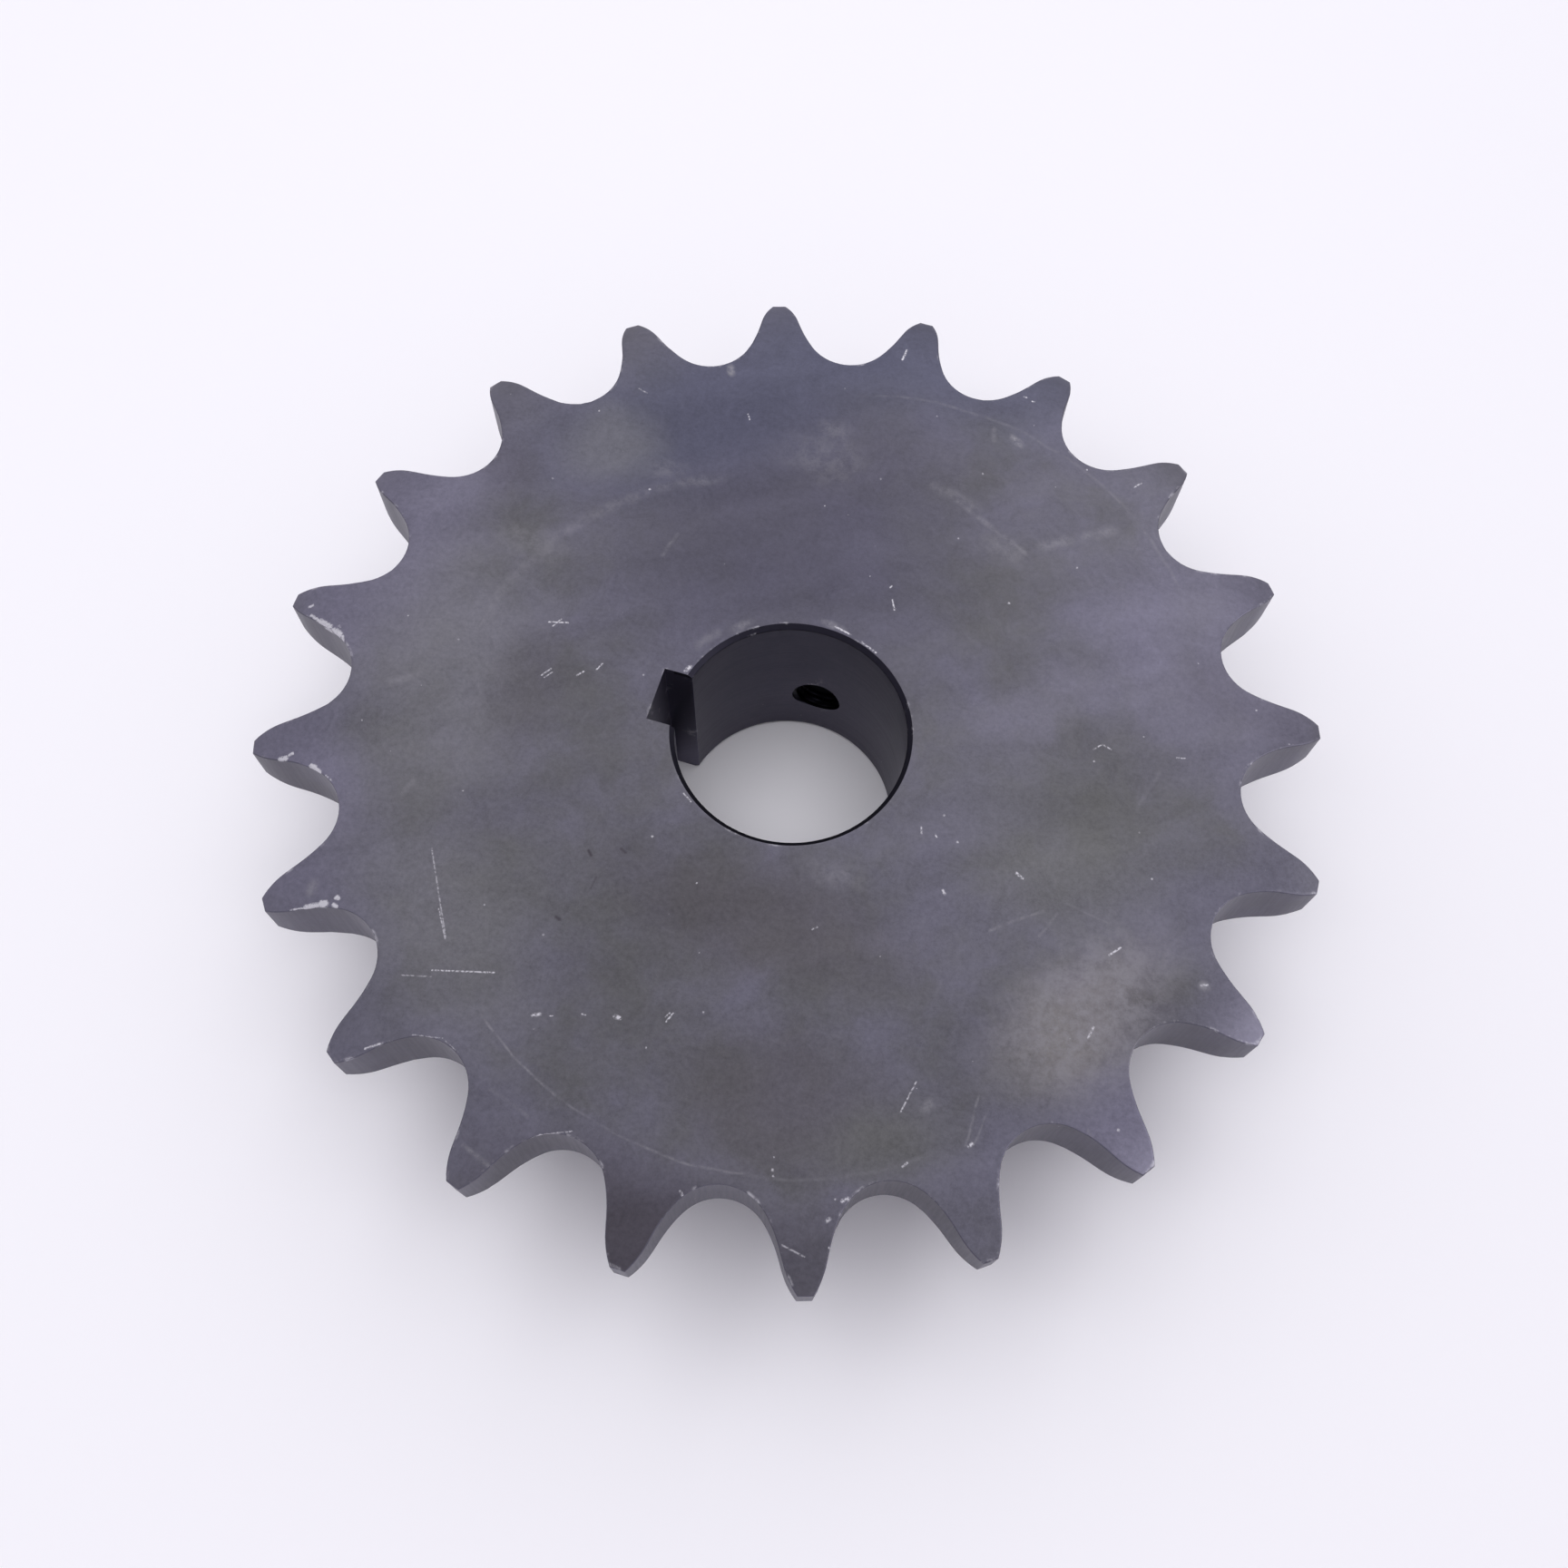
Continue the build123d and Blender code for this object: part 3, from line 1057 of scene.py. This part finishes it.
WASHES_WITH_PAINTED_LIGHT_AND_SHADE = (
    (violet_black, (-12, 38), (46, 50), 0, 0.75),
    (blue_black, (-32, 56), (44, 22), 36, 0.75),
    (blue_black, (0, 80), (60, 24), 0, 0.75),
    # painted light: pale violet washes that lighten the sides
    (painted_light_lavender, (62, 36), (34, 32), -60, 0.6),
    (painted_light_lavender, (36, 16), (20, 9), 36, 0.35),
    (painted_light_lavender, (-74, 16), (22, 36), 10, 0.65),
    (painted_light_lavender, (-72, -34), (18, 30), 30, 0.7),
    (pale_film, (-56, -6), (22, 34), 6, 0.55),
    (pale_film, (-46, 44), (13, 10), 30, 0.5),
    (pale_film, (-42, -46), (30, 18), -40, 0.5),
    (umber, (4, -32), (34, 14), 0, 0.7),
    (umber, (16, -58), (24, 16), 0, 0.65),
    (moss, (48, -2), (30, 20), 10, 0.45),
    (moss, (-28, -38), (18, 12), -10, 0.35),
    (moss, (32, -60), (16, 9), 20, 0.6),
    (rubbed, (56, -32), (13, 23), -32, 0.4),
    (rubbed, (54, -35), (9, 12), -32, 0.2),
    (pale_film, (48, -12), (24, 10), 20, 0.35),
    # painted shade: deep shade washes that darken single teeth and the front teeth
    (painted_shade_and_dirt, (-62, 34), (10, 8), 0, 0.25),
    (painted_shade_and_dirt, (-44, -4), (10, 18), 0, 0.3),
    (painted_shade_and_dirt, (66, 28), (12, 10), 0, 0.25),
    (painted_shade_and_dirt, (66, -28), (6, 8), 0, 0.25),
    (painted_shade_and_dirt, (0, -84), (36, 18), 0, 0.8),
    (painted_shade_and_dirt, (80, 26), (12, 13), 0, 0.22),
    (painted_shade_and_dirt, (26, -78), (12, 12), 0, 0.22),
    # painted light: pale violet washes that lighten single teeth
    (painted_light_lavender, (67, -48), (13, 14), 0, 0.8),
    (painted_light_lavender, (81, -26), (12, 14), 0, 0.5),
    (painted_light_lavender, (-82, -2), (12, 16), 0, 0.5),
)
print(len(WASHES_WITH_PAINTED_LIGHT_AND_SHADE), "washes")

# %% [markdown]
# Smudges are small ovals where the film is rubbed paler. Smears are short strokes with their two ends,
# width and strength, and scuffed rings have a centre, a radius, a direction, half a sweep and a width.

# %% Smudges, smears and scuffed rings
PALE_SMUDGES = (
    ((56, -32), (15, 24), -32, 0.6),
    ((-9, 52), (12, 8), 0, 0.2),
    ((22.0, 65.5), (2.2, 1.1), -36, 1.0),
    ((-30.6, 64.9), (1.1, 1.9), 30, 0.9),
    ((-52, 21), (10, 4.5), -8, 0.3),
    ((72.9, -22.4), (1.4, 1.2), 0, 0.9),
    ((13.8, -21.5), (7, 3.5), 0, 0.3),
    ((-35, 41.5), (5, 3), 25, 0.25),
    ((24.8, 43.5), (6, 4), -20, 0.3),
    ((-63.7, -47.4), (1.4, 2.2), 0, 0.6),
    ((-9, 58), (5, 3.5), -10, 0.25),
    ((37, -52.3), (1.3, 2.6), -30, 0.5),
    ((-13.5, 16), (3.2, 1.2), 48, 0.5),
    ((1.2, 20.7), (3.2, 1.0), -6, 0.7),
)
SMEARS = (
    ((10.5, 52.3), (18.4, 50.0), 1.8, 0.3),
    ((15.0, 50.4), (28.8, 43.8), 0.9, 0.4),
    ((31.4, 46.1), (42.0, 52.6), 1.7, 0.4),
    ((17.6, 66.8), (18.2, 64.4), 0.7, 0.35),
    ((-30.3, 25.0), (-29.3, 29.5), 0.6, 0.45),
    ((-65.4, -10.9), (-61.8, -8.1), 1.2, 0.4),
    ((-56.3, -28.8), (-55.3, -26.4), 0.9, 0.35),
    ((-19.4, 10.2), (-16.8, 13.6), 1.3, 0.35),
    ((43.6, -56.6), (43.8, -48.8), 0.35, 0.5),
    ((44.8, -56.0), (45.6, -50.2), 0.3, 0.4),
    ((39.0, -23.4), (46.4, -18.0), 0.4, 0.5),
    ((46.7, -22.1), (48.6, -17.7), 0.4, 0.4),
    ((49.8, -15.6), (59.3, -17.2), 0.35, 0.3),
    ((60.2, -41.0), (61.8, -36.7), 0.6, 0.5),
    ((60.4, -49.1), (61.9, -50.3), 0.5, 0.4),
    ((59.1, 11.0), (56.8, 2.7), 0.5, 0.2),
    ((-27.1, -77.7), (-22.4, -79.6), 0.6, 0.6),
    ((-26.1, -69.0), (-19.6, -71.2), 0.5, 0.35),
)
SCUFFED_RINGS = (
    ((-7.6, -1.6), 47.8, 142, 34, 1.7, 0.3),
    ((-7.6, -1.6), 47.8, 160, 18, 0.4, 0.3),
    ((4.2, -13.4), 57.6, -119, 10, 0.3, 0.8),
    ((4.2, -13.4), 57.4, -104, 12, 0.3, 0.35),
    ((4.2, -13.4), 57.4, -88, 9, 0.35, 0.55),
    ((4.2, -13.4), 57.6, -66, 16, 0.5, 0.25),
    ((9.4, 13.9), 55.3, 68, 42, 0.5, 0.25),
)
print(len(PALE_SMUDGES), "smudges,", len(SMEARS), "smears,", len(SCUFFED_RINGS), "rings")

# %% [markdown]
# Scratches go through the film to bare steel, and most are only nicks of a millimetre. A few dings are
# dark instead, because dirt sits in them. The chips follow the upper edges of the teeth, so their ends
# have a height too.

# %% Scratches, dings and chips
SCRATCHES = (
    ((-1.8, 76.4), (-1.6, 78.8), 0.3, 1.0),
    ((-45.0, 56.2), (-43.3, 55.7), 0.2, 0.6),
    ((-24.9, 56.8), (-24.3, 55.8), 0.22, 0.8),
    ((43.9, 62.4), (44.9, 63.7), 0.22, 0.7),
    ((-44.4, 7.3), (-41.3, 8.1), 0.24, 0.9),
    ((-43.5, 6.8), (-42.6, 8.4), 0.22, 0.8),
    ((-42.2, -2.4), (-41.1, -0.8), 0.22, 0.8),
    ((-41.6, -2.6), (-40.7, -1.4), 0.18, 0.7),
    ((-36.6, -0.7), (-35.8, 0.3), 0.22, 0.85),
    ((-33.9, 1.2), (-33.3, 2.6), 0.22, 0.85),
    ((-23.9, -56.6), (-22.9, -56.2), 0.42, 0.9),
    ((-21.4, -56.0), (-21.0, -55.9), 0.2, 0.8),
    ((-16.9, -54.3), (-16.3, -54.3), 0.22, 0.8),
    ((-11.9, -53.2), (-11.2, -53.2), 0.5, 1.0),
    ((-4.3, -51.7), (-3.7, -50.2), 0.22, 0.9),
    ((-4.6, -51.0), (-4.2, -50.3), 0.2, 0.7),
    ((30.5, -19.2), (30.9, -19.6), 0.34, 1.0),
    ((40.9, -13.0), (42.0, -13.6), 0.32, 1.0),
    ((24.6, -9.9), (24.9, -11.0), 0.22, 1.0),
    ((27.0, -10.5), (27.4, -10.9), 0.2, 0.8),
    ((12.7, -31.3), (13.4, -30.7), 0.22, 0.6),
    ((47.9, 11.4), (49.1, 12.7), 0.2, 0.7),
    ((49.1, 12.7), (50.7, 12.2), 0.2, 0.6),
    ((61.2, 13.9), (62.5, 14.2), 0.2, 0.7),
    ((21.1, 75.2), (21.5, 75.2), 0.25, 0.8),
    ((22.7, 74.7), (23.1, 74.7), 0.25, 0.8),
    ((10.2, 26.6), (9.4, 28.3), 0.22, 0.9),
    ((8.4, 30.5), (8.6, 30.9), 0.22, 0.7),
    ((57.8, -21.8), (59.2, -20.2), 0.26, 1.0),
    ((57.5, -35.5), (57.9, -33.6), 0.26, 0.9),
    ((72.4, -22.4), (73.3, -22.1), 0.3, 0.8),
    ((33.2, -54.7), (34.3, -49.5), 0.2, 0.7),
    ((44.2, -56.5), (44.6, -56.0), 0.4, 0.8),
    ((28.5, -69.5), (29.3, -68.9), 0.42, 1.0),
    ((27.1, -72.9), (27.4, -72.5), 0.42, 0.7),
    ((21.9, -77.9), (25.4, -78.5), 0.22, 0.5),
    ((35.6, -62.2), (36.1, -61.5), 0.26, 0.8),
    ((5.5, -74.9), (6.1, -75.5), 0.3, 0.7),
    ((-41.0, -54.5), (-31.8, -52.1), 0.2, 0.9),
    ((-45.2, -56.6), (-40.8, -55.5), 0.18, 0.4),
    ((-48.3, -36.0), (-40.9, -49.0), 0.2, 0.45),
    ((-43.6, -45.0), (-40.9, -49.2), 0.2, 0.6),
    ((1.6, 20.6), (4.4, 19.9), 0.26, 1.0),
    ((6.6, 19.1), (9.4, 17.9), 0.24, 0.9),
    ((-13.3, -15.5), (-11.8, -16.5), 0.22, 0.7),
    ((-19.8, 5.4), (-19.3, 6.3), 0.5, 1.0),
)
DARK_DINGS = (
    ((-24.6, -29.2), (-24.0, -29.8), 0.45, 0.9),
    ((-19.8, -27.4), (-19.0, -27.8), 0.45, 0.7),
    ((-25.8, -41.0), (-25.2, -41.2), 0.45, 0.8),
    ((-22.0, -33.0), (-22.2, -35.0), 0.3, 0.4),
)
CHIPS = (
    ((-83.2, -2.7, 36.9), (-81.0, -3.6, 37.4), 0.6, 1.0),
    ((-81.0, -3.6, 37.4), (-79.0, -4.2, 37.7), 1.2, 1.1),
    ((-80.2, -4.6, 36.3), (-78.9, -4.8, 36.9), 1.3, 1.1),
    ((-77.8, -4.7, 37.8), (-76.9, -5.2, 38.0), 1.3, 1.2),
    ((-76.1, -5.3, 38.0), (-75.7, -6.3, 38.0), 0.6, 1.0),
    ((-84.2, -1.2, 36.4), (-83.7, -0.8, 36.6), 0.6, 1.0),
    ((-77.5, -28.6, 37.0), (-76.6, -28.2, 37.3), 0.9, 1.1),
    ((-76.2, -27.6, 37.4), (-75.8, -27.2, 37.5), 0.6, 1.0),
    ((-71.8, -28.5, 38.0), (-71.3, -28.5, 38.0), 0.9, 1.1),
    ((-71.0, -28.8, 38.0), (-70.2, -29.1, 38.0), 0.8, 1.1),
    ((-68.9, -29.4, 38.1), (-67.8, -29.9, 38.1), 0.5, 0.7),
    ((-65.9, -51.6, 36.7), (-63.6, -50.7, 37.3), 0.4, 0.8),
    ((-63.6, -50.7, 37.3), (-62.0, -49.9, 37.8), 0.9, 1.2),
    ((-61.2, -49.5, 37.9), (-60.8, -49.4, 37.9), 1.2, 1.3),
    ((-59.4, -47.9, 38.1), (-59.2, -47.9, 38.1), 0.8, 1.2),
    ((-59.3, -49.2, 38.1), (-59.0, -49.3, 38.1), 0.8, 1.2),
    ((-46.4, -68.6, 37.0), (-44.4, -67.3, 37.6), 0.45, 0.8),
    ((-40.1, -64.7, 38.0), (-35.6, -63.9, 38.0), 0.35, 0.7),
    ((-35.4, -64.0, 38.0), (-32.6, -65.2, 38.0), 0.35, 0.6),
    ((-22.2, -79.5, 37.0), (-17.4, -73.6, 37.9), 0.3, 0.7),
    ((-17.4, -73.5, 37.9), (-12.4, -71.4, 38.0), 0.4, 0.75),
    ((78.2, 22.0, 37.5), (81.9, 23.6, 36.8), 0.4, 0.7),
)
print(len(SCRATCHES), "scratches,", len(DARK_DINGS), "dings,", len(CHIPS), "chips")

# %% [markdown]
# A row of a table becomes a mask with its group, and the masks are laid over each other one by one. The
# strongest wins, so marks that cross don't add up to a spot that is too bright.

# %% Marks laid on a surface
def in_space(spot):
    """A spot in millimetres as a vector. A spot with no height lies on the face, which is taken as flat."""
    return (*spot, 0)[:3]


def patch_on(position, center, half_size, turn):
    """The mask of one soft patch."""
    oval = {"Centre": in_space(center), "Half Size": (*half_size, 1000), "Turn": math.radians(turn)}
    return use(position.tree, soft_patch, Position=position, **oval)["Mask"]


def patches_over(position, patches, mask):
    """Adds each soft patch to the mask so far."""
    for center, half_size, turn, strength in patches:
        mask = strongest(mask, patch_on(position, center, half_size, turn), strength)
    return mask


def lines_over(position, marks, mask=None):
    """Adds each straight mark to the mask so far."""
    for start, end, width, strength in marks:
        values = {"From": in_space(start), "To": in_space(end), "Width": width}
        line = use(position.tree, scratch, Position=position, **values)["Mask"]
        mask = strongest(mask, line, strength)
    return mask


def rings_over(position, mask):
    """Adds each scuffed ring to the mask so far."""
    for center, radius, toward, half_sweep, width, strength in SCUFFED_RINGS:
        toward = math.radians(toward)
        values = {
            "Centre": in_space(center),
            "Radius": radius,
            "Width": width,
            "Toward": (math.cos(toward), math.sin(toward), 0),
            "Half Sweep": math.radians(half_sweep),
        }
        ring = use(position.tree, scuffed_ring, Position=position, **values)["Mask"]
        mask = strongest(mask, ring, strength)
    return mask


def chips_over(position, mask):
    """Adds the chips along the edges of the teeth to the mask so far. A noise makes their rims ragged."""
    ragged = maths("MULTIPLY_ADD", noise(position, scale=2.2, detail=4.0, roughness=0.8), 3.0, -0.5)
    return strongest(mask, ramp(lines_over(position, CHIPS) * ragged, start=0.35, end=0.95))


# %% Material: black oxide on the face
def either_way(field, reach):
    """A field from 0 to 1 as one that goes to both sides of 0."""
    return (field - 0.5) * reach


def face_colour(tree, flat):
    """The washes of the film, with painted light and shade among them, one over another. Returns the colour
    and the grain.
    """
    clouds = use(tree, oxide_clouds, Position=flat)
    grain = clouds["Grain"]
    toward = maths("MULTIPLY_ADD", grain, 0.25, attribute(tree, "toothward"))
    colour = blend(clouds["Clouds"], olive, tooth_violet)
    colour = blend(ramp(toward, start=0.48, end=0.78) * 0.5, colour, tooth_violet)
    # tints of the film, painted light (pale violet) and painted shade (deep shade), one over another
    for wash, center, half_size, turn, strength in WASHES_WITH_PAINTED_LIGHT_AND_SHADE:
        mask = patch_on(clouds["Drifted"], center, half_size, turn)
        colour = blend(mask * strength, colour, wash)
    wisps = noise(clouds["Drifted"], scale=0.22, detail=6.0, roughness=0.72, swirl=1.6)
    level = 1.0 + (either_way(clouds["Bands"], 0.16) + either_way(grain, 0.8)) + either_way(wisps, 0.45)
    return scaled(colour, level), grain


def unsteady(flat, reach):
    """The place on the face moved a little to and fro, so that marks drawn on it waver."""
    far_off = flat + (50, 70, 90)
    across, along = (either_way(noise(spot, scale=0.12), reach) for spot in (flat, far_off))
    return flat + joined(across, along, 0)


def face_finish():
    """Satin black oxide with washes of tint, painted light and shade, pale marks, pits and rubbed edges."""
    material, tree, shader, position = new_material("black_oxide_face")
    flat = position * (1, 1, 0)
    colour, grain = face_colour(tree, flat)
    wavering = unsteady(flat, reach=1.2)
    smudged = rings_over(wavering, lines_over(wavering, SMEARS))
    smudged = patches_over(flat, PALE_SMUDGES, smudged)
    patchy = ramp(noise(flat, scale=0.35, detail=6.0, roughness=0.78), start=0.38, end=0.64, low=0.1)
    smudged = smudged * patchy
    broken = ramp(noise(flat, scale=2.4), start=0.38, end=0.6, low=0.15, high=1.3)
    pale = chips_over(position, lines_over(flat, SCRATCHES) * broken)
    flecks = use(tree, specks, Position=flat, Spacing=3.4, Size=0.34, Share=0.4)["Mask"]
    pale = strongest(pale, flecks, strength=0.8)
    pale = strongest(pale, worn(tree, position, amount=0.46), strength=0.6)
    pits = lines_over(flat, DARK_DINGS)
    colour = blend(pale, blend(smudged, colour, scuffed), bare_mark)
    colour = blend(pits, colour, painted_shade_and_dirt)
    roughness = ramp(grain, start=0.2, end=0.8, low=0.4, high=0.52)
    dress(shader, colour, roughness, height=grain * 0.25 - pits, depth=0.03 * mm)
    return material


black_face = face_finish()
print(black_face.name, "has", len(black_face.node_tree.nodes), "nodes")

# %% [markdown]
# ## Black oxide on the teeth and on the turned surfaces
# The walls of the teeth, the hub and the bore had the same bath, so they use the same groups with less
# on them: clouds, specks, worn edges and the marks of the tool that cut them. The chamfer round the bore
# and the inside of the tapped hole are painted nearly black, as painted shade, and the keyway's walls are
# painted a shade lighter than the bore, as painted glare. The set screws are nearly black, partly their own
# black oxide and partly painted shade for the hole.

# %% Material: black oxide over tool marks
def region(*limits):
    """Where every field is past its limit: a field, the value that is still outside and one inside."""
    mask = None
    for field, outside, inside in limits:
        part = ramp(field, outside, inside)
        mask = part if mask is None else mask * part
    return mask


def painted_shade_and_glare_masks(position):
    """The masks of the bore's chamfer, of the keyway's side walls and of the tapped hole that shows: where
    painted shade, painted glare and painted shade go.
    """
    x, y, z = split(position)
    radius = from_axis(x, y)
    aside = maths("ABSOLUTE", y)
    chamfer_foot = length_through_bore - bore_chamfer
    chamfer = region(
        (radius, bore_radius + 3.25, bore_radius + 2.95),
        (z, chamfer_foot - 0.3, chamfer_foot - 0.1),
    )
    key_wall = key_width / 2
    key_mouth = keyway_floor - key_seat_depth
    walls = region(
        (x, 0.45 - key_mouth, 0.15 - key_mouth),
        (aside, key_wall - 0.16, key_wall - 0.06),
        (aside, key_wall + 0.09, key_wall + 0.04),
        (radius, keyway_floor + 0.8, keyway_floor + 0.6),
    )
    behind_screw = bore_radius + screw_recess + screw_length / 2
    hole = region(
        (y, bore_radius - 5, bore_radius - 4),
        (radius, bore_radius, bore_radius + 0.1),
        (radius, behind_screw, behind_screw - 1),
        (z, screw_height - mouth_radius, screw_height - hole_crest),
        (z, screw_height + mouth_radius, screw_height + hole_crest),
    )
    return chamfer, walls, hole


def cut_finish(name, dark, light, marks, wear, depth):
    """Black oxide on a machined surface. marks says which of the tool's marks show."""
    material, tree, shader, position = new_material(name)
    clouds = use(tree, oxide_clouds, Position=position)
    colour = blend(clouds["Clouds"], dark, light)
    darkest = 0.8
    colour = scaled(colour, maths("MULTIPLY_ADD", clouds["Grain"], 2 * (1 - darkest), darkest))
    if marks == "Rings":
        # painted glare on the keyway's walls, painted shade on the bore's chamfer and in the tapped hole
        chamfer, walls, hole = painted_shade_and_glare_masks(position)
        colour = blend(walls, colour, painted_glare_violet)
        colour = blend(strongest(chamfer * 0.75, hole, strength=0.9), colour, pitch)
    tiny = use(tree, specks, Position=position, Spacing=3.5, Size=0.3, Share=0.3)["Mask"]
    pale = strongest(tiny * 0.5, worn(tree, position, wear), strength=0.6)
    colour = blend(chips_over(position, pale), colour, bare_mark)
    grain = use(tree, tool_marks, Position=position)[marks]
    dress(shader, colour, ramp(grain, start=0.2, end=0.8, low=0.41, high=0.47), grain, depth)
    return material


CUT_FINISHES = (
    ("black_oxide_teeth", ink(84, 82, 92), ink(94, 92, 105), "Lines", 0.45, 0.004 * mm),
    ("black_oxide_turned", ink(64, 61, 77), ink(74, 71, 86), "Rings", 0.42, 0.006 * mm),
    # partly painted shade: the screws' black oxide is made nearly black so that the tapped hole reads as
    # shade
    ("black_oxide_screw", ink(16, 16, 19), ink(20, 20, 23), "Rings", 0.3, 0.006 * mm),
)
black_teeth, black_turned, screw_black_and_hole_shade = (cut_finish(*row) for row in CUT_FINISHES)
print("finishes:", [row[0] for row in CUT_FINISHES])

# %% [markdown]
# ## Grow the pieces
# The groups are run on the slice and on an empty start, and the results are kept as plain meshes, because
# a piece that still has live nodes can't be handed on. Inputs are set by their identifiers before the
# object is evaluated for the first time.


# %% Run the groups
def grow(name, start, group, values):
    """Runs a group on a mesh and keeps the result as a plain mesh with no modifier."""
    piece = bpy.data.objects.new(name, start)
    bpy.context.scene.collection.objects.link(piece)
    modifier = piece.modifiers.new(group.name, "NODES")
    modifier.node_group = group
    for item in group.interface.items_tree:
        if item.item_type == "SOCKET" and item.in_out == "INPUT" and item.name in values:
            modifier[item.identifier] = values[item.name]
    depsgraph = bpy.context.evaluated_depsgraph_get()
    grown = piece.evaluated_get(depsgraph)
    mesh = bpy.data.meshes.new_from_object(grown, preserve_all_data_layers=True, depsgraph=depsgraph)
    piece.modifiers.remove(modifier)
    piece.data = mesh
    mesh.name = name
    triangles = sum(len(face.vertices) - 2 for face in mesh.polygons)
    print(f"{name}: {len(mesh.polygons)} faces, {triangles} triangles")
    return piece


def empty_start(material):
    """A mesh with nothing in it but its material."""
    mesh = bpy.data.meshes.new("start")
    mesh.materials.append(material)
    return mesh


slice_mesh.materials.append(black_turned)
finishes = {"Face Finish": black_face, "Tooth Finish": black_teeth, "Turned Finish": black_turned}
sprocket = grow("sprocket", slice_mesh, sprocket_group, finishes)

SCREWS = (
    ("set_screw_over_key", keyway_angle, keyway_floor),
    ("set_screw_on_shaft", shaft_screw_angle, bore_radius),
)
screws = []
for name, angle, seat in SCREWS:
    stand = {"Angle": math.radians(angle), "Inner End": (seat + screw_recess) * mm, "Finish": screw_black_and_hole_shade}
    screws.append(grow(name, empty_start(screw_black_and_hole_shade), set_screw_group, stand))

# %% [markdown]
# ## Floor and light
# The sprocket lies on a plain table top, pale and quite matt, so that no lamp glares on it. A disc is
# enough, as long as it reaches past the view on all sides.

# %% Floor
floor_radius = 3.0
table_white = ink(246, 245, 250)
paper = ink(243, 242, 249)


def floor_disc():
    """A large flat disc at the height of the hub's end face."""
    mesh = bpy.data.meshes.new("floor")
    shape = bmesh.new()
    bmesh.ops.create_circle(shape, cap_ends=True, segments=96, radius=floor_radius)
    shape.to_mesh(mesh)
    shape.free()
    floor = bpy.data.objects.new("floor", mesh)
    bpy.context.scene.collection.objects.link(floor)
    material = bpy.data.materials.new("pale_table")
    material.use_nodes = True
    shader = material.node_tree.nodes["Principled BSDF"]
    shader.inputs["Base Color"].default_value = table_white
    shader.inputs["Roughness"].default_value = 0.8
    shader.inputs["Specular IOR Level"].default_value = 0
    mesh.materials.append(material)
    return floor


floor = floor_disc()

# %% [markdown]
# A large soft box hangs over the sprocket, a second one behind it and a third to the left, so the shadow
# falls under the front teeth. A reflector on the right only gives the steel something to mirror. A pale
# world fills in from all sides, and the camera and the reflections see it as pale paper.

# %% Lights and world
box_size = 1.0
SOFT_BOXES = (
    ("overhead_softbox", (0.0, 0.0, 1.0), 6.1, True, False),
    ("back_softbox", (0.0, 0.85, 0.85), 2.5, True, True),
    ("left_softbox", (-0.85, 0.0, 0.85), 1.6, True, False),
    ("right_reflector", (1.14, 0.0, 0.37), 4.5, False, True),
)
fill_light = 0.4
fill_tint = (1.0, 0.96, 1.06, 1)


def soft_box(name, stand_at, power, lights_matt, lights_gloss):
    """A square area light that faces the sprocket. It may light matt surfaces, the gloss, or both."""
    lamp = bpy.data.lights.new(name, "AREA")
    lamp.size = box_size
    lamp.energy = power
    box = bpy.data.objects.new(name, lamp)
    box.location = stand_at
    box.visible_diffuse = lights_matt
    box.visible_glossy = lights_gloss
    box.rotation_mode = "QUATERNION"
    box.rotation_quaternion = Vector(stand_at).to_track_quat("Z", "Y")
    bpy.context.scene.collection.objects.link(box)


for row in SOFT_BOXES:
    soft_box(*row)

world = bpy.data.worlds.new("studio")
bpy.context.scene.world = world
world.use_nodes = True
sky = world.node_tree
seen = sky.nodes["Background"]
seen.inputs["Color"].default_value = paper
lit = output(sky, "ShaderNodeBackground", fill_tint, fill_light)
rays = fields(place(sky, "ShaderNodeLightPath"))
bounced = maths("MAXIMUM", rays["Is Glossy Ray"], rays["Is Transmission Ray"])
shown = maths("MAXIMUM", rays["Is Camera Ray"], bounced)
either = output(sky, "ShaderNodeMixShader", shown, lit, Field(seen.outputs[0]))
fill(sky.nodes["World Output"].inputs["Surface"], either)
print("lights:", [row[0] for row in SOFT_BOXES])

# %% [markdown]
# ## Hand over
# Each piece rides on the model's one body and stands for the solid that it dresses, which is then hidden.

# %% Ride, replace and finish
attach(sprocket, "root")
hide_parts("sprocket_body")
for screw in screws:
    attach(screw, "root")
    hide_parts("set_screws")
